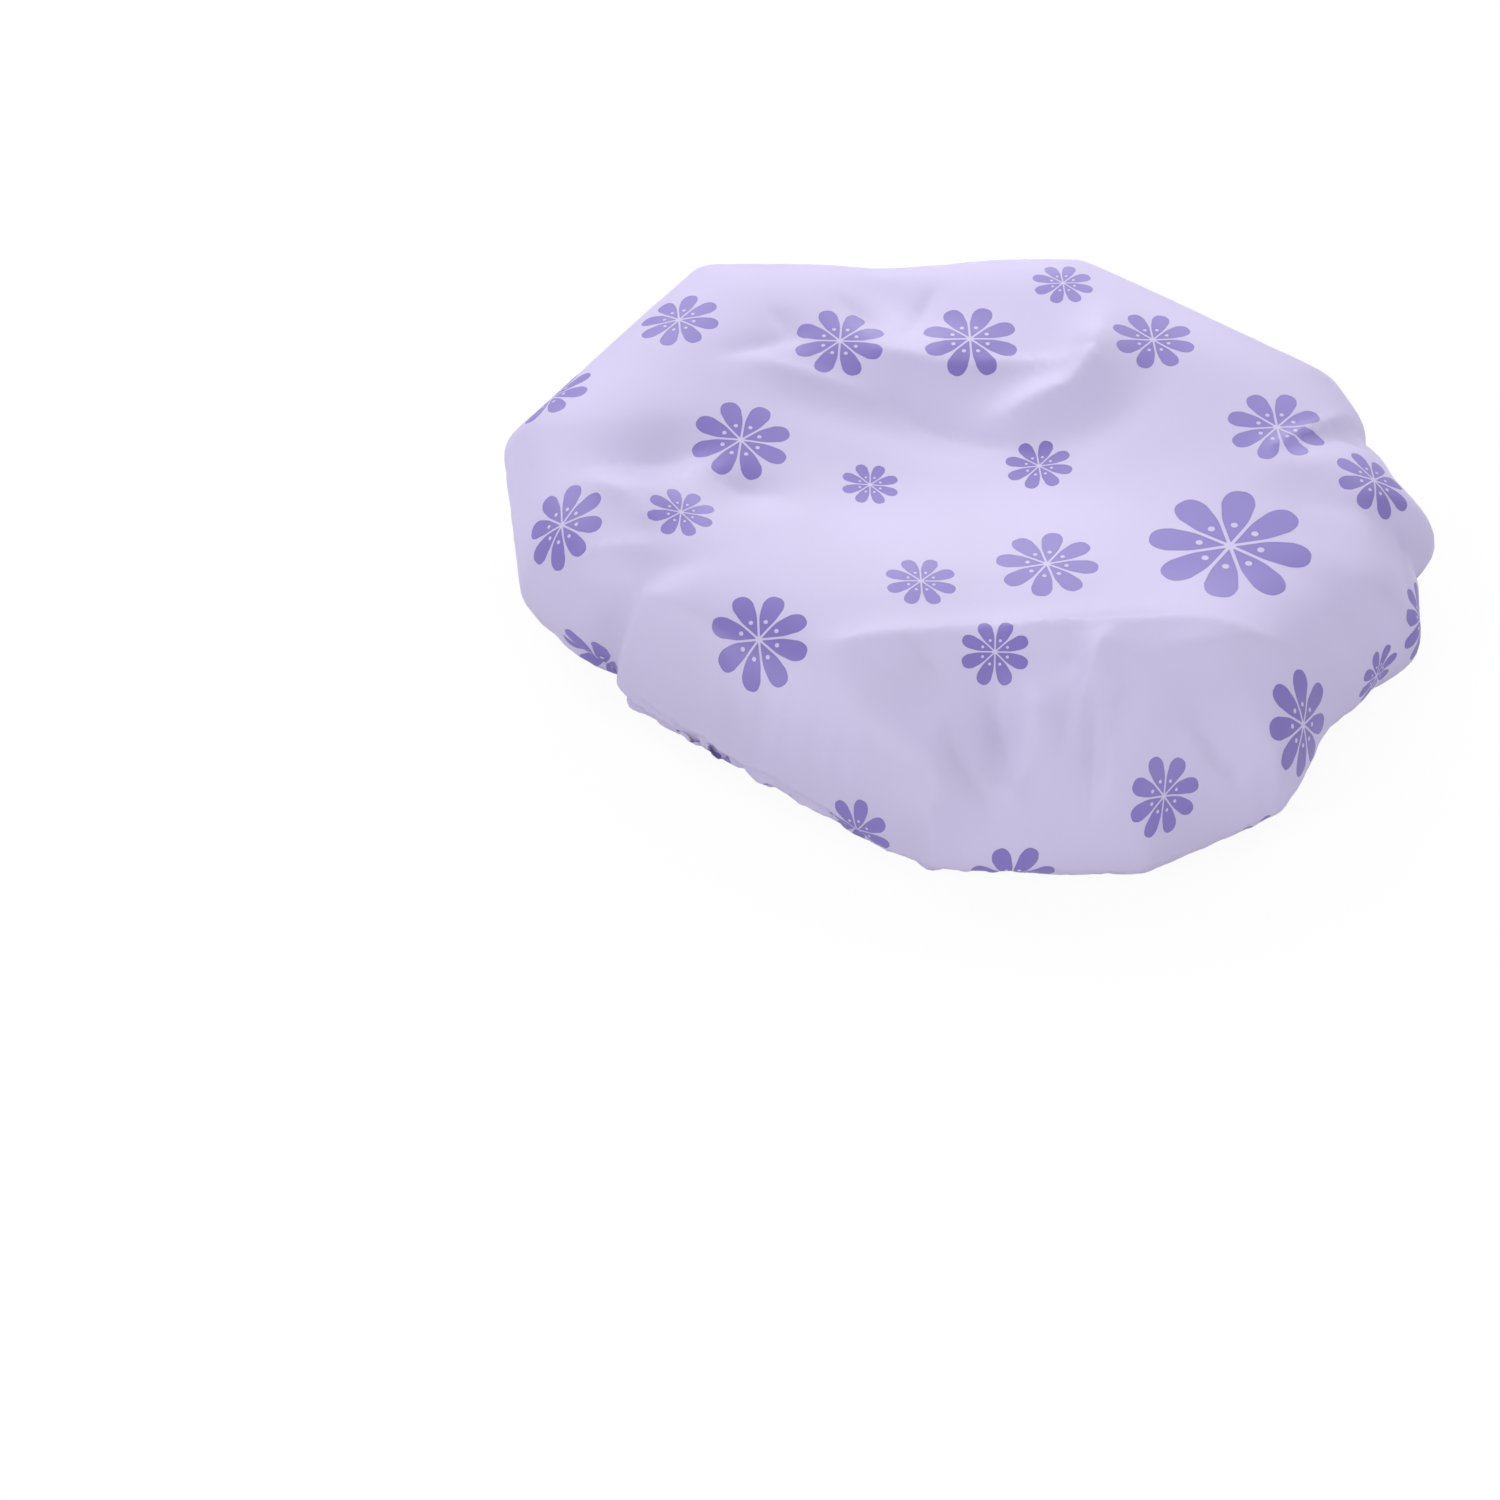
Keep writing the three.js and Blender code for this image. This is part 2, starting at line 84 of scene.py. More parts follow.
# Slack folds of the crown: start, end, half width and height in mm, seen from above. A valley is negative.
CROWN_FOLDS = (
    ((-64, 49), (-27, 37), 9, -1.5),
    ((-27, 37), (3, 29), 8, -2),
    ((-34, 63), (14, 61), 12, 3),
    ((44, 74), (38, 50), 9, 4.5),
    ((38, 50), (13, 36), 8, 4),
    ((52, 46), (25, 27), 10, -2),
    ((-31, 105), (-17, 77), 10, -4.5),
    ((-106, 18), (-84, 22), 10, -4.5),
    ((-114, 8), (-95, -2.5), 7, 4),
    ((-79, 4), (-60, 4), 8, -3),
    ((-48, -68.5), (-16, -64), 10, 3),
    ((-16, -64), (60, -62.5), 10, 4),
    ((5, -75.5), (6, -97), 5, -4.5),
    ((15, -79), (18, -93), 6, 2),
    ((38, -62.5), (33, -78), 6, 4.5),
    ((12, -62.5), (28, -73.5), 6, -3),
    ((38, -79), (34, -107), 6, -4.5),
    ((47, -79), (50, -94.5), 7, 2.5),
    ((-35, -81.5), (-4, -107), 8, 4.5),
    ((66, -87.5), (84, -94.5), 9, -4.5),
    ((103, 24), (126, 40), 5, -5),
    ((95, 12), (124, 16), 7, 3),
    ((127, 2), (127, -21), 5, -4.5),
    ((49, -67.5), (98, -59.5), 10, 2.5),
    ((-104, -37), (-103, -58), 5, 5),
    ((-112, -36), (-108, -53.5), 6, -5),
    ((-101, -58), (-76, -65), 7, 4),
    ((-120, -25.5), (-72, -59.5), 12, 2.5),
    ((50, -53.5), (112, -50), 14, 3),
)
# Sharper creases of the crown, in the same way, in the frame's own places.
CROWN_CREASES = (
    ((-27, 62), (-7, 55), 5, 2.1),
    ((-7, 55), (36, 57), 5, 1.8),
    ((-25, 44), (-2, 32), 6, -2.1),
    ((-2, 32), (16, 26), 6, -1.8),
    ((41, 70), (40, 59), 5, 2.1),
    ((40, 59), (33, 46), 6, 3),
    ((33, 46), (11, 37), 6, 2.5),
    ((-38, 85), (-25, 72), 4, -1.9),
    ((-17, 72), (-9, 90), 4, -1.9),
    ((-59, 80), (-52, 68), 4, -1.8),
    ((-65, 59), (-28, 45), 5, 1.5),
    ((-75, 62), (-54, 69), 6, -1.8),
    ((-116, 11), (-86, 21), 7, -2.1),
    ((-117, 7), (-104, -4.5), 4, 1.8),
    ((-104, -4.5), (-96, -14), 4, 1.8),
    ((-127, -21), (-98, -22), 5, 1.8),
    ((-126, -22), (-105, -33.5), 5, 2.1),
    ((-105, -33.5), (-73, -57), 6, 2.1),
    ((-113, -35), (-102, -40.5), 4, -2.1),
    ((-96, -55.5), (-83, -61.5), 6, -2.1),
    ((-103, -38.5), (-102, -57), 4, 2.5),
    ((-42, -62.5), (-16, -59.5), 5, 2.1),
    ((-16, -59.5), (-1, -57), 5, 2.1),
    ((-1, -57), (44, -59), 4, 2.5),
    ((44, -59), (62, -58), 5, 2.1),
    ((62, -58), (85, -61.5), 6, 2.1),
    ((-21, -64), (-10, -72), 4, -1.8),
    ((5, -78), (8, -93.5), 3.5, -2.5),
    ((15, -80.5), (18, -86.5), 4, 1.9),
    ((26, -65), (29, -73.5), 3.5, -1.8),
    ((38, -64), (31, -77), 4, 2.1),
    ((31, -77), (42, -77), 4, 1.8),
    ((27, -80.5), (24, -93.5), 3.5, -1.8),
    ((33, -80.5), (32, -109.5), 3, -1.9),
    ((38, -80), (38, -107.5), 4, 1.8),
    ((-9, -90), (3, -107), 3.5, -1.9),
    ((-20, -97), (-9, -109.5), 3.5, -1.9),
    ((5, -100), (18, -109.5), 4, 1.8),
    ((95, 20), (121, 42), 4, 3.1),
    ((115, 30), (124, 28), 4, -2.5),
    ((131, 2), (133, -40.5), 4, -3.1),
    ((66, -89.5), (72, -95.5), 4, -1.9),
    ((72, -95.5), (83, -91), 4, -1.9),
    ((59, -87.5), (63, -93.5), 4, 1.5),
    ((-26, -102.5), (-1, -112), 5, 1.8),
    ((49, -71), (94, -60.5), 6, 1.8),
    ((-76, 9), (-63, 6), 5, -1.8),
)
# The width of a crease's tip and the fall of its slopes. A line starts and ends part way up its rise.
CREASE_TIP = 0.15
CREASE_FALL = 1.6
LINE_START = 0.15
CREASE_FADE = 0.014  # the creases fade out over this much film before the widest line

# The hollow of the slack crown: its middle, its half length and its reach to the back and to the front.
HOLLOW_CENTRE = (-10, 14)
HOLLOW_LENGTH = 74
HOLLOW_BACK = 44
HOLLOW_FRONT = 46
HOLLOW_DEPTH = 10

# How flat the crown is on top at the sides, and what the back and the front add to that, by a power of the
# bearing's sine. The shoulder's power rounds the edge of the flat top.
FULLNESS = 9.5
BACK_FULLNESS = 2.5
FRONT_FULLNESS = -6.3
FULLNESS_POWER = 4
SHOULDER_POWER = 0.6
# The points of a crown line crowd to its edge, and the folds fade out there.
CROWDING_POWER = 2.2
FOLD_FADE = 6

# The underside: its roll's largest radius, the most of the room that it takes, and the rise to the seam.
ROLL_RADIUS = 0.030
ROLL_SHARE = 0.6
SEAM_RISE_POWER = 1.5
LINE_STEP = 0.002  # half the step that gives a line's direction

# The gathers: where past the widest line they start, are full and are lifted, their limit as a share of the
# rim's height, and where before the sheet's edge the seam starts and ends pressing them flat, by which share.
GATHER_START = 0.02
GATHER_FULL = 0.065
GATHER_LIFT = 0.03
GATHER_LIMIT = 0.3
PRESS_START = 0.028
PRESS_END = 0.006
PRESS_SHARE = 0.97
# Their unevenness, as rows of size, waves in a turn and phase: of their places, their swing and their depths.
GATHER_WANDER = ((0.05, 3, 1.0), (0.03, 7, 2.0))
GATHER_SWAY = ((1.5, 2, 0.0),)
GATHER_MEAN = 0.8
GATHER_SHARES = ((0.3, 5, 0.7),)

# How the film relaxes: its steps, the passes in each, how far a pass goes and how much motion it keeps.
FILM_STEPS = 150
FILM_PASSES = 4
FILM_PACE = 1.6
FILM_DRIFT = 0.9
# How hard it resists being pressed together, bent over one edge, and bent over a longer reach in knots, in
# some ways from each knot, inside a radius on the sheet.
FILM_PRESS = 0.6
FILM_BEND = 0.08
FILM_STIFF = 0.02
STIFF_REACH = 4
STIFF_WAYS = 4
STIFF_RADIUS = 0.15
# How hard it is drawn to its first places, over the sheet and in a band at the widest line.
FILM_GOAL = 0.10
RIM_GOAL = 0.45
RIM_BAND = 0.012
# Its spare length, and the crumple that it starts with: height, wavelength, shift and where it fades out.
FILM_SLACK = 0.020
FILM_NOISE = 0.006
CRUMPLE_LENGTH = 0.08
CRUMPLE_SHIFT = Vector((3, 0, 0))
CRUMPLE_FADE = (0.14, 0.18)
HELD_SHARE = 0.985  # the sheet is held in the seam beyond this share of its radius
CORNER_PULL = 0.020  # how far from the widest line the corners are drawn out

# Least heights over the surface: of the film before and while it relaxes, and of the hem.
START_FLOOR = 0.0008
FILM_FLOOR = 0.0006
HEM_FLOOR = 0.0004

# The view: the photograph's side in pixels, the camera's field and where it stands.
PHOTO_SIDE = 1500
CAMERA_FIELD = 36 / 115
CAMERA_ELEVATION = math.radians(48)
CAMERA_DISTANCE = 1.427
CAMERA_AIM = Vector((-0.0673, -0.0783, 0.022))

# Flowers of the print that the photograph shows: a pixel on each, its width in mm and its turn in degrees.
# The last value is how far its middle lies beyond that pixel in mm, for a flower that the edge cuts.
SHOWN_FLOWERS = (
    (679, 320, 26, 27, 0),
    (840, 341, 29, 19, 0),
    (970, 339, 31, 24, 0),
    (1063, 283, 20, 27, 0),
    (1153, 340, 26, 27, 0),
    (1277, 428, 31, 27, 0),
    (1374, 480, 25, 23, 0),
    (741, 440, 31, 16, 0),
    (1039, 466, 21, 27, 0),
    (870, 485, 18, 21, 0),
    (681, 512, 21, 18, 0),
    (562, 525, 28, 27, 0),
    (1230, 546, 49, 33, 0),
    (921, 581, 22, 24, 0),
    (1047, 564, 31, 35, 0),
    (759, 640, 31, 21, 0),
    (995, 652, 21, 20, 0),
    (1303, 725, 34, 22, 0),
    (1164, 796, 24, 25, 0),
    (570, 392, 29, 20, 8),
    (600, 662, 27, 20, 4),
    (706, 752, 27, 22, 11),
    (857, 828, 27, 22, 2),
    (1012, 862, 31, 22, 10),
    (1400, 582, 26, 20, 17),
    (1398, 680, 18, 20, 3),
)

# The rest of the print is scattered by chance, with a gap between flowers, each turned by some degrees.
FLOWER_WIDTHS = (0.021, 0.024, 0.030, 0.031, 0.048)
FLOWER_GAP = 0.012
PRINT_SEED = 11
PRINT_TRIES = 4000
PRINT_TURNS = (15, 35)

# A flower, as shares of its radius: the gap between petals, a petal's flank and its largest half width, where
# its round end starts and that end's two powers, the heart, the dot's place and radius, and the soft edge.
PETALS = 8
PETAL_GAP = 0.024
FLANK_SLOPE = 0.15
FLANK_START = 0.098
FLANK_BLEND = 0.04
PETAL_HALF = 0.212
END_START = 0.68
END_POWERS = (2.5, 0.4)
HEART = 0.07
DOT_PLACE = 0.38
DOT_RADIUS = 0.044
PRINT_EDGE = 0.008
PETAL_RIM = (0.004, 0.03)

# The bound mouth: its middle, the height of its seam, and the strip's section in mm, outward and up from the
# seam, from the upper lip's edge round the tunnel to the inner wall. The lower half mirrors it.
MOUTH_MIDDLE = np.array((-0.002, 0.002))
SEAM_HEIGHT = 0.0077
SEAM_WAVE = 0.0012
SEAM_WAVES = 16
FILM_EDGE = 0.0036
HALF_SECTION = (
    (6.6, 0.8),
    (4.6, 0.8),
    (2.6, 0.9),
    (2.6, 2.6),
    (2.5, 4.2),
    (1.0, 5.65),
    (-1.0, 5.65),
    (-2.5, 4.2),
    (-2.6, 1.6),
)
TUNNEL_HALF_DEPTH = 0.0026
STILL_KNOTS = 5  # points from each lip's edge that the ruffle leaves in place
RUFFLE = 0.0015
FINE_RUFFLE = 0.0003
FINE_RUFFLES = 80
HEM_WANDER = ((0.02, 9, 1.0), (0.012, 23, 0.0))
# The line of weld dents: its inset from a lip's edge, its soft and its full half width, and the dents' pitch.
WELD_INSET = 0.0022
WELD_SOFT = 0.0007
WELD_FULL = 0.0004
WELD_PITCH = 0.0016

# The elastic in the tunnel: a flat strip whose ends lap, seated against the tunnel's inner wall.
ELASTIC_WIDTH = 0.006
ELASTIC_THICKNESS = 0.001
ELASTIC_SEAT = -0.00155
ELASTIC_LAP = 0.014
ELASTIC_EASE = 0.016
ELASTIC_LAYERS = 0.0013
CORD_PITCH = 0.0009
YARN_PITCH = 0.0008


class CapSizes(bpy.types.PropertyGroup):
    """Sizes of the cap that a user would change."""

    sheet_radius: bpy.props.FloatProperty(
        name="Sheet radius", description="Radius of the flat film before it is gathered",
        default=0.235, unit="LENGTH",
    )
    crown_height: bpy.props.FloatProperty(
        name="Crown height", description="Height of the crown over the surface", default=0.054, unit="LENGTH"
    )
    rim_height: bpy.props.FloatProperty(
        name="Rim height", description="Height of the widest line at the sides", default=0.024, unit="LENGTH"
    )
    rim_tilt: bpy.props.FloatProperty(
        name="Rim tilt", description="Rise of the widest line to the back, and its fall to the front",
        default=0.015, unit="LENGTH",
    )
    mouth_length: bpy.props.FloatProperty(
        name="Mouth length", description="Longer width of the relaxed mouth", default=0.152, unit="LENGTH"
    )
    mouth_width: bpy.props.FloatProperty(
        name="Mouth width", description="Shorter width of the relaxed mouth", default=0.120, unit="LENGTH"
    )
    film_thickness: bpy.props.FloatProperty(
        name="Film thickness", description="Thickness of the film", default=0.00015, unit="LENGTH"
    )
    gathers: bpy.props.IntProperty(
        name="Gathers", description="Gathers of film round the mouth", default=38, min=8
    )


class CapColours(bpy.types.PropertyGroup):
    """Colours of the cap that a user would change."""

    film: bpy.props.FloatVectorProperty(
        name="Film", description="Frosted film", subtype="COLOR", size=3, default=(0.608, 0.562, 0.76)
    )
    petals: bpy.props.FloatVectorProperty(
        name="Petals", description="Printed petals", subtype="COLOR", size=3, default=(0.18, 0.14, 0.43)
    )
    elastic: bpy.props.FloatVectorProperty(
        name="Elastic", description="Braided elastic", subtype="COLOR", size=3, default=(0.84, 0.83, 0.80)
    )
    thread: bpy.props.FloatVectorProperty(
        name="Thread", description="Sewing thread", subtype="COLOR", size=3, default=(0.74, 0.71, 0.86)
    )


def deselect_all():
    """Leaves nothing selected, so that an operator acts on its own piece alone."""
    for piece in bpy.context.selected_objects:
        piece.select_set(False)


def make_active(piece):
    """Selects one piece alone and makes it the active one."""
    deselect_all()
    piece.select_set(True)
    bpy.context.view_layer.objects.active = piece


class Wire:
    """A socket in a material's nodes. An expression on values adds its Math nodes."""

    def __init__(self, tree, socket=None):
        self.tree = tree
        self.socket = socket

    def node(self, kind, settings=None, inputs=None, out=0):
        """Adds a node: its settings are set first, then its sockets' values or links."""
        made = self.tree.nodes.new("ShaderNode" + kind)
        for name, value in (settings or {}).items():
            setattr(made, name, value)
        for name, value in (inputs or {}).items():
            if isinstance(value, Wire):
                self.tree.links.new(value.socket, made.inputs[name])
            else:
                made.inputs[name].default_value = value
        return Wire(self.tree, made.outputs[out] if len(made.outputs) else None)

    def maths(self, operation, *values):
        """A Math node on this value and the others."""
        inputs = dict(enumerate((self, *values)))
        return self.node("Math", {"operation": operation}, inputs)

    def between(self, low, high):
        """0 below low, 1 above high and an even ease between them."""
        steps = {"Value": self, "From Min": low, "From Max": high}
        return self.node("MapRange", {"interpolation_type": "SMOOTHSTEP"}, steps)

    def mixed(self, first, second):
        """The first colour where this value is 0 and the second where it is 1."""
        return self.node("Mix", {"data_type": "RGBA"}, {0: self, 6: first, 7: second}, out=2)

    def __add__(self, other):
        return self.maths("ADD", other)

    def __radd__(self, other):
        return self.maths("ADD", other)

    def __sub__(self, other):
        return self.maths("SUBTRACT", other)

    def __rsub__(self, other):
        return self.node("Math", {"operation": "SUBTRACT"}, {0: other, 1: self})

    def __mul__(self, other):
        return self.maths("MULTIPLY", other)

    def __rmul__(self, other):
        return self.maths("MULTIPLY", other)

    def __truediv__(self, other):
        return self.maths("DIVIDE", other)

    def __pow__(self, other):
        return self.maths("POWER", other)


def new_material(name):
    """A material with no nodes yet, and the wire that its nodes grow from."""
    material = bpy.data.materials.new(name)
    material.use_nodes = True
    material.node_tree.nodes.clear()
    return material, Wire(material.node_tree)


def ease(value, start, end):
    """0 before start, 1 after end and an even ease between them."""
    share = np.clip((value - start) / (end - start), 0.0, 1.0)
    return share * share * (3.0 - 2.0 * share)


def outline_reach(bearing):
    """Distance from the middle to the widest line at each bearing: a polygon with soft corners and tucks."""
    corners = np.array(OUTLINE_CORNERS, dtype=float) * MM
    along = np.roll(corners, -1, axis=0) - corners
    outward = np.stack((along[:, 1], -along[:, 0]), axis=1)
    outward /= np.linalg.norm(outward, axis=1)[:, None]
    outward /= np.sum(outward * corners, axis=1)[:, None]
    heading = np.stack((np.cos(bearing), np.sin(bearing)), axis=0)
    nearness = np.maximum(outward @ heading, 0.0) ** CORNER_SHARPNESS
    reach = np.sum(nearness, axis=0) ** (-1.0 / CORNER_SHARPNESS)
    drawn = np.zeros_like(reach)
    for place, depth, width in RIM_TUCKS:
        away = np.hypot(*(reach * heading - np.array(place)[:, None] * MM)) / (width * MM)
        drawn += depth * MM * np.exp(-away * away)
    return reach - drawn


def outline_middle():
    """Middle of the widest line's box, which the frame has at its origin."""
    bearing = np.linspace(0, TURN, 2 * OUTLINE_SLOTS + 1)
    rim = outline_reach(bearing) * np.stack((np.cos(bearing), np.sin(bearing)))
    return (rim.max(axis=1) + rim.min(axis=1)) / 2


def rim_height(sizes, bearing):
    """Height of the widest line: the crown folds over high at the back and slopes low to the front."""
    return sizes.rim_height + sizes.rim_tilt * np.sin(bearing)


def waves(bearing, rows):
    """Sum of sines round a turn, by rows of size, waves in a turn and phase."""
    return sum(size * np.sin(count * bearing + phase) for size, count, phase in rows)


def line_rise(x, y, rows, profile):
    """Rise or fall at each place by listed lines, most half way along each, with a profile across."""
    total = np.zeros_like(x)
    for start, end, width, height in rows:
        start, end = np.array(start) * MM, np.array(end) * MM
        run = end - start
        share = np.clip(((x - start[0]) * run[0] + (y - start[1]) * run[1]) / (run @ run), 0.0, 1.0)
        away = np.hypot(x - start[0] - share * run[0], y - start[1] - share * run[1]) / (width * MM)
        total += height * MM * profile(away) * np.sin(np.pi * (LINE_START + (1 - 2 * LINE_START) * share))
    return total


def soft_fold(away):
    """Profile of a soft fold."""
    return np.exp(-away * away)


def sharp_fold(away):
    """Profile of a crease: two slopes that meet in a narrow tip."""
    return np.exp(-CREASE_FALL * (np.sqrt(away * away + CREASE_TIP**2) - CREASE_TIP))


def fold_height(x, y):
    """Rise or fall of the crown by its listed folds and its hollow, at each place seen from above."""
    across = (x / MM - HOLLOW_CENTRE[0]) / HOLLOW_LENGTH
    behind = y / MM - HOLLOW_CENTRE[1]
    deep = behind / np.where(behind > 0, HOLLOW_BACK, HOLLOW_FRONT)
    sunk = HOLLOW_DEPTH * MM * np.exp(-across * across - deep * deep)
    return line_rise(x, y, CROWN_FOLDS, soft_fold) - sunk


def crown_lines(sizes, bearing, steps=70):
    """Lines over the crown from its middle to the widest line, one for each bearing."""
    spread = 1 - (1 - np.linspace(0, 1, steps)) ** CROWDING_POWER
    heading = np.stack((np.cos(bearing), np.sin(bearing)), axis=1)
    plan = outline_reach(bearing)[:, None, None] * spread[None, :, None] * heading[:, None, :]
    back = np.sin(bearing)
    added = np.where(back > 0, BACK_FULLNESS, FRONT_FULLNESS) * back**FULLNESS_POWER
    dome = np.maximum(1 - spread[None, :] ** (FULLNESS + added)[:, None], 0.0) ** SHOULDER_POWER
    rim = rim_height(sizes, bearing)[:, None]
    slack = fold_height(plan[..., 0], plan[..., 1]) * (1 - spread**FOLD_FADE)[None, :]
    return np.concatenate((plan, (rim + (sizes.crown_height - rim) * dome + slack)[..., None]), axis=2)


def mouth_places(sizes, bearing, outward):
    """Places seen from above beside the middle line of the bound mouth."""
    half = np.array((sizes.mouth_length / 2, sizes.mouth_width / 2))
    heading = np.stack((np.cos(bearing), np.sin(bearing)), axis=1)
    normal = heading * half[::-1]
    normal /= np.linalg.norm(normal, axis=1)[:, None]
    return heading * half + normal * np.reshape(outward, (-1, 1)) + MOUTH_MIDDLE


def seam_height(bearing):
    """Height of the seam round the mouth, which waves with its gathers."""
    return SEAM_HEIGHT + SEAM_WAVE * np.cos(SEAM_WAVES * bearing)


def underside_lines(sizes, bearing, widest, steps=20):
    """Lines under the cap from the widest line round to the seam beside the mouth."""
    way = mouth_places(sizes, bearing, FILM_EDGE) - widest
    room = np.linalg.norm(way, axis=1)[:, None]
    roll = np.minimum(ROLL_RADIUS, room * ROLL_SHARE)
    turn = np.linspace(0, math.pi / 2, steps)[None, 1:]
    flat = np.linspace(0, 1, steps)[None, 1:]
    inset = np.concatenate((roll * (1 - np.cos(turn)), roll + (room - roll) * flat), axis=1) / room
    drop = rim_height(sizes, bearing)[:, None] * (1 - np.sin(turn))
    rise = np.concatenate((drop, seam_height(bearing)[:, None] * flat**SEAM_RISE_POWER), axis=1)
    plan = widest[:, None, :] + way[:, None, :] * inset[..., None]
    return np.concatenate((plan, rise[..., None]), axis=2)


def along_lines(run, lines, target):
    """The point of each line at its target distance along it."""
    row = np.arange(len(run))
    after = np.clip((run < target[:, None]).sum(axis=1), 1, run.shape[1] - 1)
    start, end = run[row, after - 1], run[row, after]
    share = np.clip((target - start) / np.maximum(end - start, 1e-9), 0.0, 1.0)[:, None]
    return lines[row, after - 1] * (1 - share) + lines[row, after] * share


def wrapped_places(sizes, radius, bearing):
    """Start places of the sheet's knots, from their radius and bearing on the flat sheet."""
    crown = crown_lines(sizes, bearing)
    lines = np.concatenate((crown, underside_lines(sizes, bearing, crown[:, -1, :2])), axis=1)
    lengths = np.linalg.norm(np.diff(lines, axis=1), axis=2)
    run = np.concatenate((np.zeros((len(bearing), 1)), np.cumsum(lengths, axis=1)), axis=1)
    crown_run = run[:, crown.shape[1] - 1]
    spare = (run[:, -1] - crown_run) / (sizes.sheet_radius - crown_run)
    target = np.where(radius < crown_run, radius, crown_run + (radius - crown_run) * spare)
    places = along_lines(run, lines, target)
    ahead = along_lines(run, lines, target + LINE_STEP) - along_lines(run, lines, target - LINE_STEP)
    return gathered(sizes, places, ahead, radius, bearing, crown_run), crown_run


def gathered(sizes, places, ahead, radius, bearing, crown_run):
    """Takes up the sheet's spare width in gathers that deepen under the cap and lie flat at the seam."""
    around = np.stack((-np.sin(bearing), np.cos(bearing), np.zeros_like(bearing)), axis=1)
    normal = np.cross(around, ahead)
    normal /= np.maximum(np.linalg.norm(normal, axis=1), 1e-9)[:, None]
    girth = np.maximum(np.hypot(places[:, 0], places[:, 1]), 0.01)
    spare = np.maximum(radius / girth, 1.0)
    depth = np.sqrt(2 * (spare**2 - 1)) * girth / sizes.gathers
    over = ease(radius, crown_run + GATHER_START, crown_run + GATHER_FULL)
    at_seam = ease(radius, sizes.sheet_radius - PRESS_START, sizes.sheet_radius - PRESS_END)
    depth = np.minimum(depth, GATHER_LIMIT * rim_height(sizes, bearing)) * over * (1 - PRESS_SHARE * at_seam)
    wander = bearing + waves(bearing, GATHER_WANDER)
    swing = np.cos(sizes.gathers * wander + waves(bearing, GATHER_SWAY))
    depth *= GATHER_MEAN + waves(bearing, GATHER_SHARES)
    places = places - normal * (depth * swing)[:, None]
    places[:, 2] += depth * ease(radius, crown_run, crown_run + GATHER_LIFT)
    places[:, 2] = np.maximum(places[:, 2], START_FLOOR)
    return places


def round_sheet(rings):
    """Rings and bearings of a round sheet's knots, and its triangles: each ring has six knots more."""
    ring = [0]
    bearing = [0.0]
    faces = []
    starts = [0]
    for k in range(1, rings + 1):
        starts.append(len(ring))
        ring += [k] * (6 * k)
        bearing += [TURN * j / (6 * k) for j in range(6 * k)]
        outer, inner = starts[k], starts[k - 1]
        count_in = max(6 * (k - 1), 1)
        for sector in range(6):
            for j in range(k):
                a = outer + (sector * k + j) % (6 * k)
                b = outer + (sector * k + j + 1) % (6 * k)
                c = inner + (sector * (k - 1) + j) % count_in
                faces.append((a, b, c))
                if j < k - 1:
                    d = inner + (sector * (k - 1) + j + 1) % count_in
                    faces.append((b, d, c))
    return np.array(ring, dtype=float), np.array(bearing), faces


def sheet_links(flat, faces, spacing):
    """Pairs of knots that hold a sheet: its edges, those across each edge, and those further apart."""
    corners = np.array(faces)
    halves = np.concatenate((corners, corners[:, [1, 2, 0]], corners[:, [2, 0, 1]]))
    ends = np.sort(halves[:, :2], axis=1)
    order = np.lexsort((ends[:, 1], ends[:, 0]))
    ends, opposite = ends[order], halves[order, 2]
    shared = np.all(ends[1:] == ends[:-1], axis=1)
    edges = np.unique(ends, axis=0)
    across = np.stack((opposite[:-1][shared], opposite[1:][shared]), axis=1)
    tree = kdtree.KDTree(len(flat))
    for i, place in enumerate(flat):
        tree.insert(place, i)
    tree.balance()
    far = []
    for i, place in enumerate(flat):
        for k in range(STIFF_WAYS):
            way = k * math.pi / STIFF_WAYS
            step = Vector((math.cos(way), math.sin(way), 0)) * spacing * STIFF_REACH
            _, j, miss = tree.find(Vector(place) + step)
            if miss < spacing:
                far.append((i, j))
    return edges, across, np.array(far)


def relaxed(start, places, flat, links, goal, fixed):
    """Lets a thin film relax: it draws to its flat lengths, resists bending and stays near its places."""
    count = len(flat)
    pulls = []
    total = np.zeros(count)
    for pairs, longer, shorter in zip(links, (1.0, 0.0, 0.0), (FILM_PRESS, FILM_BEND, FILM_STIFF)):
        rest = np.linalg.norm(flat[pairs[:, 0]] - flat[pairs[:, 1]], axis=1) * (1 + FILM_SLACK)
        pulls.append((pairs, np.concatenate((pairs[:, 0], pairs[:, 1])), rest, longer, shorter))
        total += max(longer, shorter) * np.bincount(pairs.ravel(), minlength=count)
    now, before = start.copy(), start.copy()
    for _ in range(FILM_STEPS):
        now, before = now + FILM_DRIFT * (now - before), now
        for _ in range(FILM_PASSES):
            move = np.zeros_like(now)
            for pairs, ends, rest, longer, shorter in pulls:
                gap = now[pairs[:, 0]] - now[pairs[:, 1]]
                length = np.sqrt((gap * gap).sum(axis=1)) + 1e-12
                miss = length - rest
                push = (-0.5 * np.where(miss > 0, longer, shorter) * miss / length)[:, None] * gap
                for axis in range(3):
                    both = np.concatenate((push[:, axis], -push[:, axis]))
                    move[:, axis] += np.bincount(ends, weights=both, minlength=count)
            now = now + FILM_PACE * move / total[:, None]
            now[:, 2] = np.maximum(now[:, 2], FILM_FLOOR)
            now[fixed] = places[fixed]
        now += goal[:, None] * (places - now)
    return now


def camera_frame():
    """Where the camera stands, and its turn."""
    away = Vector((0, -math.cos(CAMERA_ELEVATION), math.sin(CAMERA_ELEVATION)))
    return CAMERA_AIM + away * CAMERA_DISTANCE, (-away).to_track_quat("-Z", "Y")


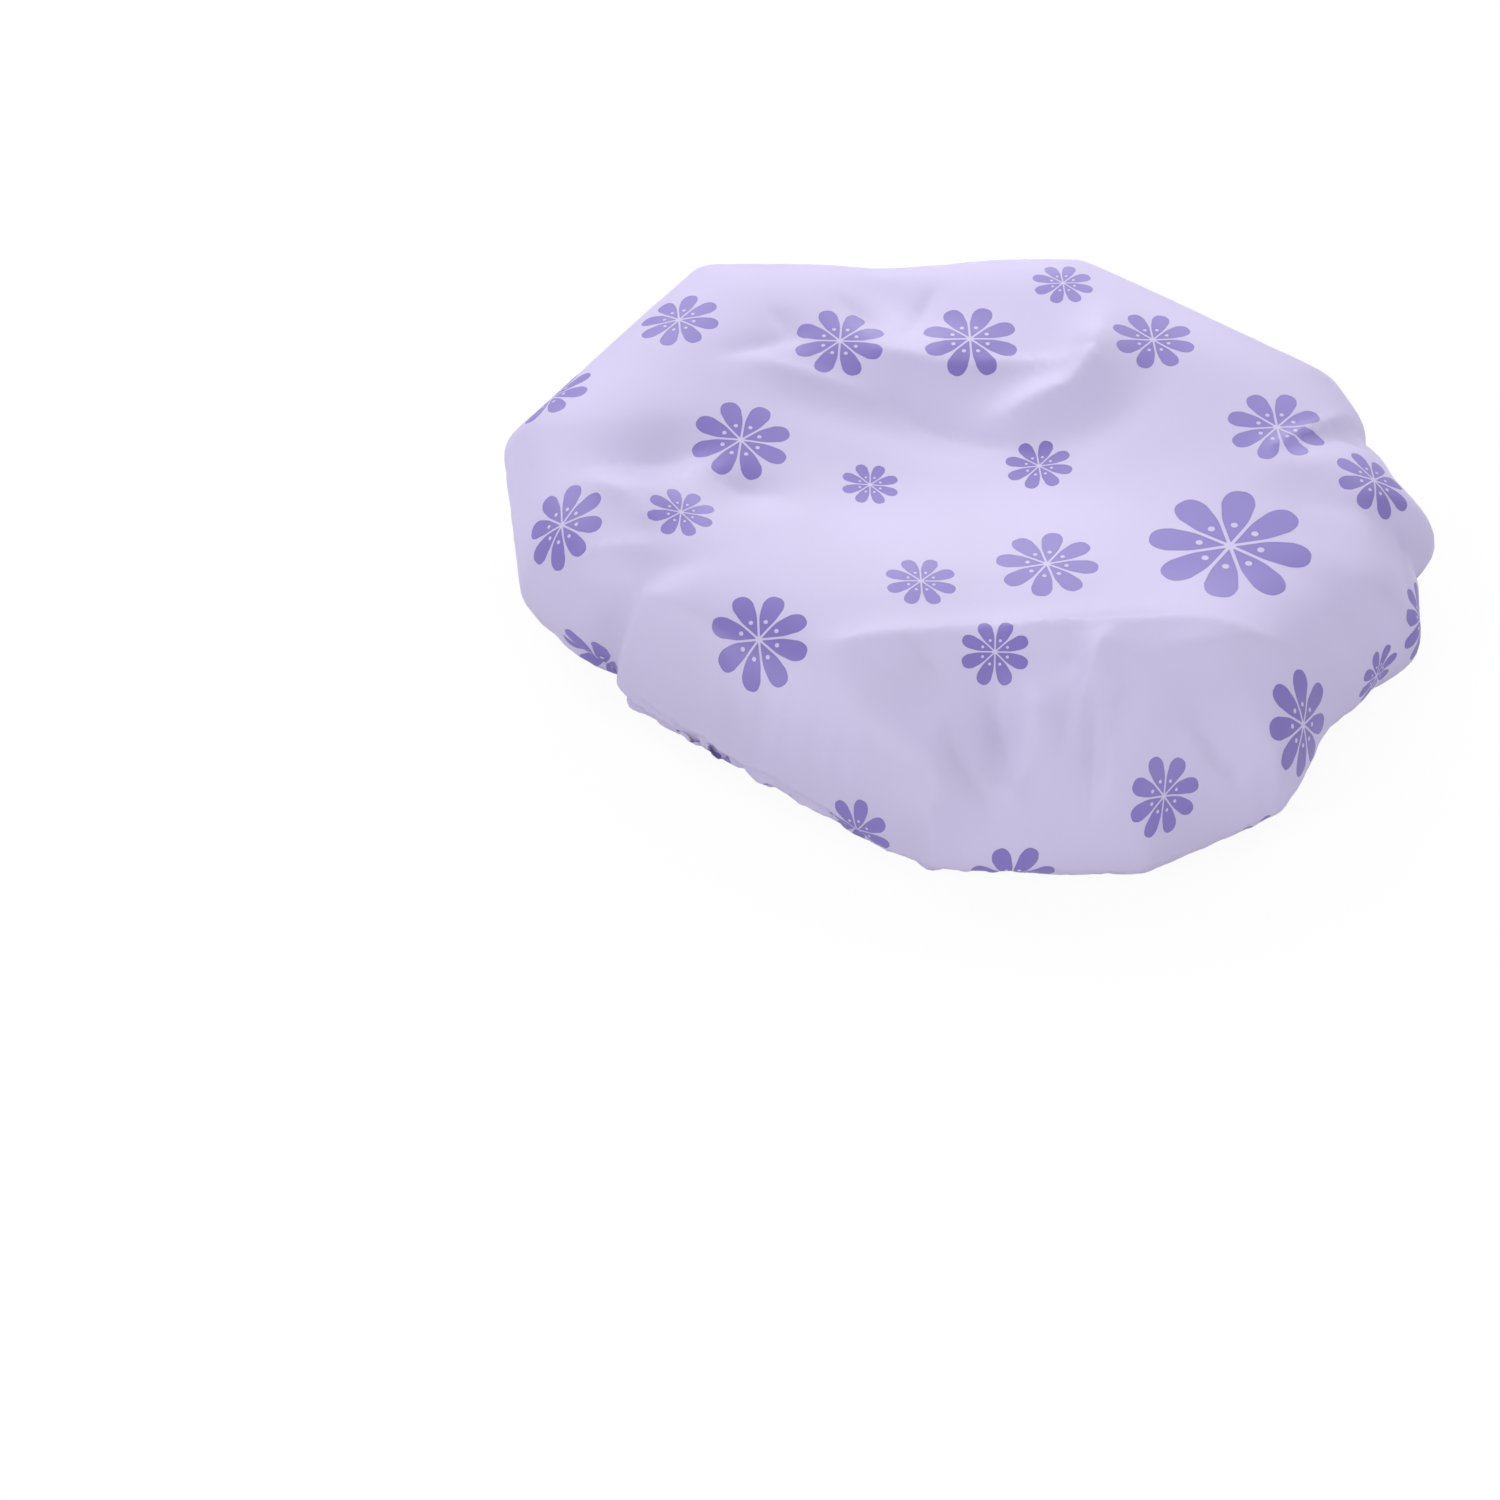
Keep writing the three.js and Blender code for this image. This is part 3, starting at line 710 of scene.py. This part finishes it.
def seen_places(sizes, places, flat, faces, pixels):
    """Places on the flat sheet that the camera sees at the pixels, or the nearest to one beside the cap."""
    eye, turn = camera_frame()
    tree = BVHTree.FromPolygons([Vector(p) for p in places], faces)
    found = []
    for across, down in pixels:
        sight = Vector((across / PHOTO_SIDE - 0.5, 0.5 - down / PHOTO_SIDE, -1 / CAMERA_FIELD))
        look = turn @ sight.normalized()
        hit, _, face, _ = tree.ray_cast(eye, look)
        if hit is None:
            hit, _, face, _ = tree.find_nearest(eye + look * ((sizes.rim_height - eye.z) / look.z))
        corners = [Vector(places[i]) for i in faces[face]]
        cut = [Vector(flat[i]) for i in faces[face]]
        found.append(geometry.barycentric_transform(hit, *corners, *cut).to_2d())
    return found


def scattered_flowers(sizes, places, flat, faces):
    """The whole print: middle on the flat sheet, radius and turn of each flower."""
    middles = seen_places(sizes, places, flat, faces, [row[:2] for row in SHOWN_FLOWERS])
    flowers = []
    for middle, (_, _, width, turn, beyond) in zip(middles, SHOWN_FLOWERS):
        middle += middle.normalized() * beyond * MM
        flowers.append((middle.x, middle.y, width * MM / 2, math.radians(turn)))
    chance = np.random.default_rng(PRINT_SEED)
    for _ in range(PRINT_TRIES):
        bearing = chance.uniform(0, TURN)
        width = chance.choice(FLOWER_WIDTHS)
        start = crown_run_at(sizes, bearing) + width / 2
        distance = math.sqrt(chance.uniform(start**2, sizes.sheet_radius**2))
        x, y = distance * math.cos(bearing), distance * math.sin(bearing)
        if all(math.hypot(x - f[0], y - f[1]) > width / 2 + f[2] + FLOWER_GAP for f in flowers):
            flowers.append((x, y, width / 2, math.radians(chance.uniform(*PRINT_TURNS))))
    return np.array(flowers)


def crown_run_at(sizes, bearing):
    """Length of film from the crown's middle to the widest line at one bearing."""
    line = crown_lines(sizes, np.array([bearing]))[0]
    return np.linalg.norm(np.diff(line, axis=0), axis=1).sum()


def print_flowers(mesh, flowers):
    """Gives each face the place of its nearest flower, as a map on which that flower's tips are at 1."""
    cut = np.empty(len(mesh.loops) * 2)
    mesh.uv_layers["cut"].data.foreach_get("uv", cut)
    cut = cut.reshape(-1, 2)
    starts = np.empty(len(mesh.polygons), dtype=int)
    counts = np.empty(len(mesh.polygons), dtype=int)
    mesh.polygons.foreach_get("loop_start", starts)
    mesh.polygons.foreach_get("loop_total", counts)
    middle = np.add.reduceat(cut, starts, axis=0) / counts[:, None]
    away = np.hypot(middle[:, None, 0] - flowers[None, :, 0], middle[:, None, 1] - flowers[None, :, 1])
    own = flowers[np.repeat(np.argmin(away - flowers[None, :, 2], axis=1), counts)]
    x, y = (cut - own[:, :2]).T / own[:, 2]
    cos, sin = np.cos(own[:, 3]), np.sin(own[:, 3])
    local = np.stack((x * cos + y * sin, y * cos - x * sin), axis=1)
    mesh.uv_layers.new(name="print").data.foreach_set("uv", local.ravel())


def petal_masks(start):
    """Masks of the printed petals, and of their darker rims, from the print's map."""
    place = start.node("UVMap", {"uv_map": "print"})
    x = start.node("SeparateXYZ", None, {0: place}, out="X")
    y = start.node("SeparateXYZ", None, {0: place}, out="Y")
    radius = (x * x + y * y).maths("SQRT")
    turns = y.maths("ARCTAN2", x) * (PETALS / TURN)
    lean = ((turns + 0.5).maths("FRACT") - 0.5) * (TURN / PETALS)
    along = radius * lean.maths("COSINE")
    across = (radius * lean.maths("SINE")).maths("ABSOLUTE")
    wedge = along * math.tan(math.pi / PETALS) - PETAL_GAP
    flank = along * FLANK_SLOPE + FLANK_START
    past = ((along - END_START) / (1 - END_START)).maths("MAXIMUM", 0.0).maths("MINIMUM", 1.0)
    end = (1 - past ** END_POWERS[0]).maths("MAXIMUM", 0.0) ** END_POWERS[1] * PETAL_HALF
    half_width = wedge.maths("SMOOTH_MIN", flank, FLANK_BLEND).maths("MINIMUM", end)
    inside = (half_width - across).maths("MINIMUM", along - HEART).maths("MINIMUM", 1.0 - along)
    dot = ((along - DOT_PLACE) ** 2 + across**2).maths("SQRT") - DOT_RADIUS
    inside = inside.maths("MINIMUM", dot)
    mask = inside.between(-PRINT_EDGE, PRINT_EDGE)
    rim = mask * (1 - inside.between(*PETAL_RIM))
    return mask, rim


# The film's sheen and roughness, the share of light that it and its ink let through, how pale that light is,
# the heights of its crinkle and grain, and the range of the noise that clouds it.
FILM_SHEEN = 0.5
FILM_ROUGHNESS = 0.46
FILM_GLOW = 0.4
INK_GLOW = 0.12
GLOW_POWER = 0.3
CRINKLE = 0.0004
GRAIN = 0.00002
CLOUD_RANGE = (0.35, 0.65)


def tinted(colour, share):
    """A colour made lighter or darker by a share, as a socket takes it."""
    return (*(min(1.0, part * share) for part in colour), 1)


def film_material(colours):
    """Milky film with a soft sheen, faintly crinkled, with printed petals."""
    material, start = new_material("printed_film")
    place = start.node("TexCoord", None, None, out="Object")
    mask, rim = petal_masks(start)
    cloud = start.node("TexNoise", None, {"Vector": place, "Scale": 14.0, "Detail": 2.0})
    grain = start.node("TexNoise", None, {"Vector": place, "Scale": 1400.0, "Detail": 2.0})
    ridges = {"noise_type": "RIDGED_MULTIFRACTAL"}
    crinkle = start.node("TexNoise", ridges, {"Vector": place, "Scale": 22.0, "Detail": 2.0})
    film = cloud.between(*CLOUD_RANGE).mixed(tinted(colours.film, 0.96), tinted(colours.film, 1.03))
    ink = rim.mixed(tinted(colours.petals, 1.0), tinted(colours.petals, 0.86))
    height = crinkle * CRINKLE + grain * GRAIN
    bump = start.node("Bump", None, {"Strength": 0.5, "Distance": 1.0, "Height": height})
    rough = cloud * 0.12 + mask * -0.06 + FILM_ROUGHNESS
    shader = start.node(
        "BsdfPrincipled", None,
        {
            "Base Color": mask.mixed(film, ink),
            "Roughness": rough,
            "Normal": bump,
            "Specular IOR Level": FILM_SHEEN,
        },
    )
    glow = start.node("BsdfTranslucent", None, {"Color": (*(c**GLOW_POWER for c in colours.film), 1)})
    through = FILM_GLOW + mask * (INK_GLOW - FILM_GLOW)
    mixed = start.node("MixShader", None, {0: through, 1: shader, 2: glow})
    start.node("OutputMaterial", None, {"Surface": mixed})
    return material


def hem_material(colours, across):
    """The same milky film, plain, with the line of small dents that welds its lips to the cap."""
    material, start = new_material("binding_film")
    place = start.node("TexCoord", None, None, out="Object")
    cut = start.node("UVMap", {"uv_map": "cut"})
    u = start.node("SeparateXYZ", None, {0: cut}, out="X")
    v = start.node("SeparateXYZ", None, {0: cut}, out="Y")
    edge = v.maths("MINIMUM", float(across[-1]) - v)
    line = (edge - WELD_INSET).maths("ABSOLUTE").between(WELD_SOFT, WELD_FULL)
    dents = line * ((u * (TURN / WELD_PITCH)).maths("SINE") * 0.5 + 0.5)
    cloud = start.node("TexNoise", None, {"Vector": place, "Scale": 40.0, "Detail": 2.0})
    film = cloud.between(*CLOUD_RANGE).mixed(tinted(colours.film, 0.95), tinted(colours.film, 1.05))
    film = (dents * 0.35).mixed(film, tinted(colours.film, 0.8))
    height = cloud * 0.0002 - dents * 0.0002
    bump = start.node("Bump", None, {"Strength": 0.6, "Distance": 1.0, "Height": height})
    shader = start.node(
        "BsdfPrincipled", None, {"Base Color": film, "Roughness": cloud * 0.14 + 0.32, "Normal": bump}
    )
    glow = start.node("BsdfTranslucent", None, {"Color": tinted(colours.film, 1.0)})
    mixed = start.node("MixShader", None, {0: 0.3, 1: shader, 2: glow})
    start.node("OutputMaterial", None, {"Surface": mixed})
    return material


def elastic_material(colours):
    """White braid: slanted yarns that cross along cords of rubber, with painted shade where the braid sinks.
    """
    material, start = new_material("braided_elastic")
    cut = start.node("UVMap", {"uv_map": "cut"})
    u = start.node("SeparateXYZ", None, {0: cut}, out="X")
    v = start.node("SeparateXYZ", None, {0: cut}, out="Y")
    cords = (v * (TURN / CORD_PITCH)).maths("COSINE")
    slant = (v * (math.pi / CORD_PITCH)).maths("SINE").maths("SIGN")
    yarns = (u * (TURN / YARN_PITCH) + slant * cords * 1.2).maths("SINE")
    height = yarns * 0.5 + cords
    soil = start.node("TexNoise", None, {"Vector": cut, "Scale": 300.0, "Detail": 2.0})
    # Darker where the braid sinks between its yarns and cords: painted shade in its grooves.
    painted_groove_shade = height.between(-1.2, 0.6).mixed(tinted(colours.elastic, 0.82), tinted(colours.elastic, 1.0))
    bump = start.node("Bump", None, {"Strength": 0.7, "Distance": 1.0, "Height": height * 0.00008})
    shader = start.node(
        "BsdfPrincipled", None, {"Base Color": painted_groove_shade, "Roughness": soil * 0.2 + 0.68, "Normal": bump}
    )
    start.node("OutputMaterial", None, {"Surface": shader})
    return material


def thread_material(colours):
    """Twisted sewing thread, with painted shade in the grooves of its twist."""
    material, start = new_material("sewing_thread")
    place = start.node("TexCoord", None, None, out="Object")
    slanted = {"bands_direction": "DIAGONAL"}
    twist = start.node("TexWave", slanted, {"Vector": place, "Scale": 900.0, "Distortion": 1.0})
    fuzz = start.node("TexNoise", None, {"Vector": place, "Scale": 2500.0})
    # Darker in the grooves of the twist: painted shade.
    painted_groove_shade = twist.between(0.1, 0.7).mixed(tinted(colours.thread, 0.8), tinted(colours.thread, 1.0))
    bump = start.node("Bump", None, {"Strength": 0.6, "Distance": 1.0, "Height": twist * 0.0001})
    shader = start.node(
        "BsdfPrincipled", None, {"Base Color": painted_groove_shade, "Roughness": fuzz * 0.2 + 0.55, "Normal": bump}
    )
    start.node("OutputMaterial", None, {"Surface": shader})
    return material


class CAP_OT_film(bpy.types.Operator):
    """Makes the gathered film crown from its flat round cut."""

    bl_idname = "shower_cap.film"
    bl_label = "Film crown"

    rings = 50

    def execute(self, context):
        sizes = context.scene.cap_sizes
        ring, bearing, faces = round_sheet(self.rings)
        spacing = sizes.sheet_radius / self.rings
        radius = ring * spacing
        places, crown_run = wrapped_places(sizes, radius, bearing)
        places[:, :2] -= outline_middle()
        flat = np.stack((radius * np.cos(bearing), radius * np.sin(bearing), np.zeros_like(radius)), axis=1)
        edges, across, far = sheet_links(flat, faces, spacing)
        far = far[radius[far].max(axis=1) < STIFF_RADIUS]
        crumple = np.array([noise.noise(Vector(p) / CRUMPLE_LENGTH + CRUMPLE_SHIFT) for p in places])
        start = places.copy()
        start[:, 2] += FILM_NOISE * crumple * (1 - ease(radius, *CRUMPLE_FADE))
        at_rim = np.exp(-(((radius - crown_run) / RIM_BAND) ** 2))
        goal = FILM_GOAL + (RIM_GOAL - FILM_GOAL) * at_rim
        held = radius > sizes.sheet_radius * HELD_SHARE
        places = relaxed(start, places, flat, (edges, across, far), goal, held)
        mesh = bpy.data.meshes.new("film_crown")
        mesh.from_pydata(places.tolist(), [], faces)
        film = bpy.data.objects.new("film_crown", mesh)
        context.collection.objects.link(film)
        cut = mesh.uv_layers.new(name="cut")
        for loop in mesh.loops:
            cut.data[loop.index].uv = flat[loop.vertex_index, :2]
        make_active(film)
        smooth = film.modifiers.new("finer", "SUBSURF")
        smooth.levels = smooth.render_levels = 1
        bpy.ops.object.modifier_apply(modifier=smooth.name)
        finished_film(sizes, film.data)
        print_flowers(film.data, scattered_flowers(sizes, places, flat, faces))
        wall = film.modifiers.new("wall", "SOLIDIFY")
        wall.thickness = sizes.film_thickness
        wall.offset = 0
        bpy.ops.object.modifier_apply(modifier=wall.name)
        bpy.ops.object.shade_smooth()
        film.data.materials.append(film_material(context.scene.cap_colours))
        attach(film, "root")
        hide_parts("crown_film")
        return {"FINISHED"}


def finished_film(sizes, mesh):
    """Draws the finer film's corners out to its outline again, and creases its crown."""
    places = np.empty(len(mesh.vertices) * 3)
    mesh.vertices.foreach_get("co", places)
    places = places.reshape(-1, 3)
    corner = np.empty(len(mesh.loops), dtype=int)
    mesh.loops.foreach_get("vertex_index", corner)
    cut = np.empty(len(mesh.loops) * 2)
    mesh.uv_layers["cut"].data.foreach_get("uv", cut)
    flat = np.empty((len(places), 2))
    flat[corner] = cut.reshape(-1, 2)
    table = np.linspace(0, TURN, OUTLINE_SLOTS + 1)
    runs = np.linalg.norm(np.diff(crown_lines(sizes, table), axis=1), axis=2).sum(axis=1)
    own_run = np.interp(np.arctan2(flat[:, 1], flat[:, 0]) % TURN, table, runs)
    past = np.hypot(flat[:, 0], flat[:, 1]) - own_run
    middle = outline_middle()
    plan = places[:, :2] + middle
    bearing = np.arctan2(plan[:, 1], plan[:, 0]) % TURN
    own = (bearing / TURN * OUTLINE_SLOTS).astype(int) % OUTLINE_SLOTS
    heading = (np.arange(OUTLINE_SLOTS) + 0.5) * TURN / OUTLINE_SLOTS
    widest = np.zeros(OUTLINE_SLOTS)
    np.maximum.at(widest, own, np.hypot(plan[:, 0], plan[:, 1]))
    short = np.interp(bearing, heading, outline_reach(heading) / widest - 1, period=TURN)
    pull = 1 + short * np.exp(-((past / CORNER_PULL) ** 2))
    places[:, :2] = plan * pull[:, None] - middle
    rise = line_rise(places[:, 0], places[:, 1], CROWN_CREASES, sharp_fold)
    places[:, 2] += rise * (1 - ease(past, -CREASE_FADE, 0.0))
    mesh.vertices.foreach_set("co", places.ravel())
    mesh.update()


def strip_mesh(name, rows, cut, is_loop):
    """A strip from rows of places across it, with its flat coordinates as a map. A loop joins its ends."""
    count, across = rows.shape[:2]
    faces = [
        (i * across + j, i * across + j + 1, (i + 1) % count * across + j + 1, (i + 1) % count * across + j)
        for i in range(count if is_loop else count - 1)
        for j in range(across - 1)
    ]
    mesh = bpy.data.meshes.new(name)
    mesh.from_pydata(rows.reshape(-1, 3).tolist(), [], faces)
    layer = mesh.uv_layers.new(name="cut")
    length = cut[-1, 0, 0] + cut[1, 0, 0]
    for polygon in mesh.polygons:
        last = is_loop and polygon.index >= (count - 1) * (across - 1)
        for k in polygon.loop_indices:
            row, place = divmod(mesh.loops[k].vertex_index, across)
            u, v = cut[row, place]
            layer.data[k].uv = (length if last and row == 0 else u, v)
    piece = bpy.data.objects.new(name, mesh)
    bpy.context.collection.objects.link(piece)
    return piece


def strip_wall(piece, thickness, levels):
    """Smooths a strip and gives it its thickness."""
    make_active(piece)
    smooth = piece.modifiers.new("finer", "SUBSURF")
    smooth.levels = smooth.render_levels = levels
    bpy.ops.object.modifier_apply(modifier=smooth.name)
    wall = piece.modifiers.new("wall", "SOLIDIFY")
    wall.thickness = thickness
    wall.offset = 0
    bpy.ops.object.modifier_apply(modifier=wall.name)
    bpy.ops.object.shade_smooth()


class CAP_OT_hem(bpy.types.Operator):
    """Makes the folded strip that binds the mouth: a gathered tunnel and two lips on the film's edge."""

    bl_idname = "shower_cap.hem"
    bl_label = "Hem binding"

    columns = 480

    def execute(self, context):
        sizes = context.scene.cap_sizes
        bearing = np.arange(self.columns) * TURN / self.columns
        half = np.array(HALF_SECTION) * MM
        section = np.concatenate((half, half[::-1] * (1, -1)))
        inner = np.ones(len(section))
        inner[:STILL_KNOTS] = inner[-STILL_KNOTS:] = 0
        wander = bearing + waves(bearing, HEM_WANDER)
        swell = RUFFLE * (1 + np.cos(SEAM_WAVES * bearing)) / 2
        swell += FINE_RUFFLE * (1 + np.cos(FINE_RUFFLES * wander))
        away = section / np.linalg.norm(section, axis=1)[:, None]
        rows = np.empty((self.columns, len(section), 3))
        for j, (outward, up) in enumerate(section):
            push = swell * inner[j]
            share = ease(outward, -TUNNEL_HALF_DEPTH, TUNNEL_HALF_DEPTH)
            lifted = (seam_height(bearing) - SEAM_HEIGHT) * share
            rows[:, j, :2] = mouth_places(sizes, bearing, outward + away[j, 0] * push)
            rows[:, j, 2] = SEAM_HEIGHT + lifted + up + away[j, 1] * push
        rows[..., :2] -= outline_middle()
        rows[..., 2] = np.maximum(rows[..., 2], HEM_FLOOR)
        along = np.linalg.norm(np.diff(mouth_places(sizes, bearing, 0), axis=0), axis=1)
        along = np.concatenate(((0,), np.cumsum(along)))
        across = np.concatenate(((0,), np.cumsum(np.linalg.norm(np.diff(section, axis=0), axis=1))))
        cut = np.stack(np.broadcast_arrays(along[:, None], across[None, :]), axis=2)
        hem = strip_mesh("hem_strip", rows, cut, True)
        strip_wall(hem, sizes.film_thickness, 1)
        hem.data.materials.append(hem_material(context.scene.cap_colours, across))
        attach(hem, "root")
        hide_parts("hem_binding")
        return {"FINISHED"}


class CAP_OT_elastic(bpy.types.Operator):
    """Makes the flat braided elastic in the tunnel, and dresses the thread that whips its lapped ends."""

    bl_idname = "shower_cap.elastic"
    bl_label = "Elastic and its thread"

    columns = 300
    knots = 9

    def execute(self, context):
        sizes = context.scene.cap_sizes
        lap, easing = (length / (sizes.mouth_width / 2) for length in (ELASTIC_LAP, ELASTIC_EASE))
        run = np.linspace(0, TURN + lap, self.columns)
        inner, outer = -ELASTIC_LAYERS / 2, ELASTIC_LAYERS / 2
        offset = inner + (ELASTIC_SEAT - inner) * ease(run, lap, lap + easing)
        offset += (outer - offset) * ease(run, TURN - easing, TURN)
        up = np.linspace(-0.5, 0.5, self.knots) * ELASTIC_WIDTH
        rows = np.empty((self.columns, self.knots, 3))
        rows[..., :2] = (mouth_places(sizes, run, offset) - outline_middle())[:, None, :]
        rows[..., 2] = SEAM_HEIGHT + up[None, :]
        along = np.concatenate(((0,), np.cumsum(np.linalg.norm(np.diff(rows[:, 0], axis=0), axis=1))))
        cut = np.stack(np.broadcast_arrays(along[:, None], up[None, :]), axis=2)
        band = strip_mesh("elastic_strip", rows, cut, False)
        strip_wall(band, ELASTIC_THICKNESS, 1)
        band.data.materials.append(elastic_material(context.scene.cap_colours))
        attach(band, "root")
        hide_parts("elastic_band")
        thread = bpy.data.objects["elastic_tack"]
        thread.data.materials.clear()
        thread.data.materials.append(thread_material(context.scene.cap_colours))
        return {"FINISHED"}


# The stage: the rays that see a white ground and sky, the sky's light for the others, the floor, the camera's
# reach, and the lamps with their places and power.
SEEN_RAYS = ("Camera", "Glossy", "Transmission")
WORLD_LIGHT = 0.27
FLOOR_GLOW = 0.92
FLOOR_SIDE = 12
FLOOR_PAINT = (0.92, 0.92, 0.92, 1)
CAMERA_CLIP = 50
LAMP_SIZE = 1.0
LAMPS = (
    ("back", (0.0, 1.55, 0.72), 14.5),
    ("back_left", (-1.0, 1.1, 0.88), 14),
    ("back_right", (1.0, 1.1, 0.88), 10.5),
    ("front_left", (-1.0, -1.0, 0.95), 16),
    ("front_right", (0.95, -1.05, 0.95), 10.5),
)


def seen_share(start):
    """1 for the rays that see the stage, 0 for the rest."""
    rays = (start.node("LightPath", None, None, out=f"Is {ray} Ray") for ray in SEEN_RAYS)
    return sum(rays).maths("MINIMUM", 1.0)


class CAP_OT_stage(bpy.types.Operator):
    """Sets the pale floor, the soft studio light and the camera."""

    bl_idname = "shower_cap.stage"
    bl_label = "Stage"

    def execute(self, context):
        scene = context.scene
        scene.view_settings.view_transform = "Standard"
        deselect_all()
        bpy.ops.mesh.primitive_plane_add(size=FLOOR_SIDE)
        floor = context.object
        floor.name = "floor"
        paint, start = new_material("floor_white")
        matte = start.node("BsdfDiffuse", None, {"Color": FLOOR_PAINT})
        glow = start.node("Emission", None, {"Strength": 1.0})
        mixed = start.node("MixShader", None, {0: seen_share(start) * FLOOR_GLOW, 1: matte, 2: glow})
        start.node("OutputMaterial", None, {"Surface": mixed})
        floor.data.materials.append(paint)

        scene.world = bpy.data.worlds.new("studio")
        scene.world.use_nodes = True
        scene.world.node_tree.nodes.clear()
        start = Wire(scene.world.node_tree)
        strength = WORLD_LIGHT + seen_share(start) * (1.0 - WORLD_LIGHT)
        sky = start.node("Background", None, {"Color": (1, 1, 1, 1), "Strength": strength})
        start.node("OutputWorld", None, {"Surface": sky})

        for name, place, power in LAMPS:
            lamp = bpy.data.lights.new(name, "AREA")
            lamp.size = LAMP_SIZE
            lamp.energy = power
            holder = bpy.data.objects.new(name, lamp)
            holder.location = place
            holder.rotation_euler = (-Vector(place)).to_track_quat("-Z", "Y").to_euler()
            context.collection.objects.link(holder)

        camera = bpy.data.cameras.new("camera")
        camera.sensor_width = camera.lens * CAMERA_FIELD
        camera.clip_end = CAMERA_CLIP
        holder = bpy.data.objects.new("camera", camera)
        eye, turn = camera_frame()
        holder.location = eye
        holder.rotation_euler = turn.to_euler()
        context.collection.objects.link(holder)
        scene.camera = holder
        return {"FINISHED"}


class CAP_PT_panel(bpy.types.Panel):
    """Lists the cap's pieces, sizes and colours."""

    bl_idname = "CAP_PT_panel"
    bl_label = "Shower Cap"
    bl_space_type = "VIEW_3D"
    bl_region_type = "UI"
    bl_category = "Shower Cap"

    def draw(self, context):
        layout = self.layout
        for group in (context.scene.cap_sizes, context.scene.cap_colours):
            for name in group.bl_rna.properties.keys():
                if name not in {"rna_type", "name"}:
                    layout.prop(group, name)
        for piece in PIECES:
            layout.operator(piece.bl_idname)


PIECES = (CAP_OT_stage, CAP_OT_film, CAP_OT_hem, CAP_OT_elastic)
CLASSES = (CapSizes, CapColours, *PIECES, CAP_PT_panel)


def register():
    for item in CLASSES:
        bpy.utils.register_class(item)
    bpy.types.Scene.cap_sizes = bpy.props.PointerProperty(type=CapSizes)
    bpy.types.Scene.cap_colours = bpy.props.PointerProperty(type=CapColours)


def unregister():
    del bpy.types.Scene.cap_sizes
    del bpy.types.Scene.cap_colours
    for item in reversed(CLASSES):
        bpy.utils.unregister_class(item)


def main():
    register()
    for piece in PIECES:
        getattr(bpy.ops.shower_cap, piece.bl_idname.split(".")[1])()


if __name__ == "__main__":
    main()
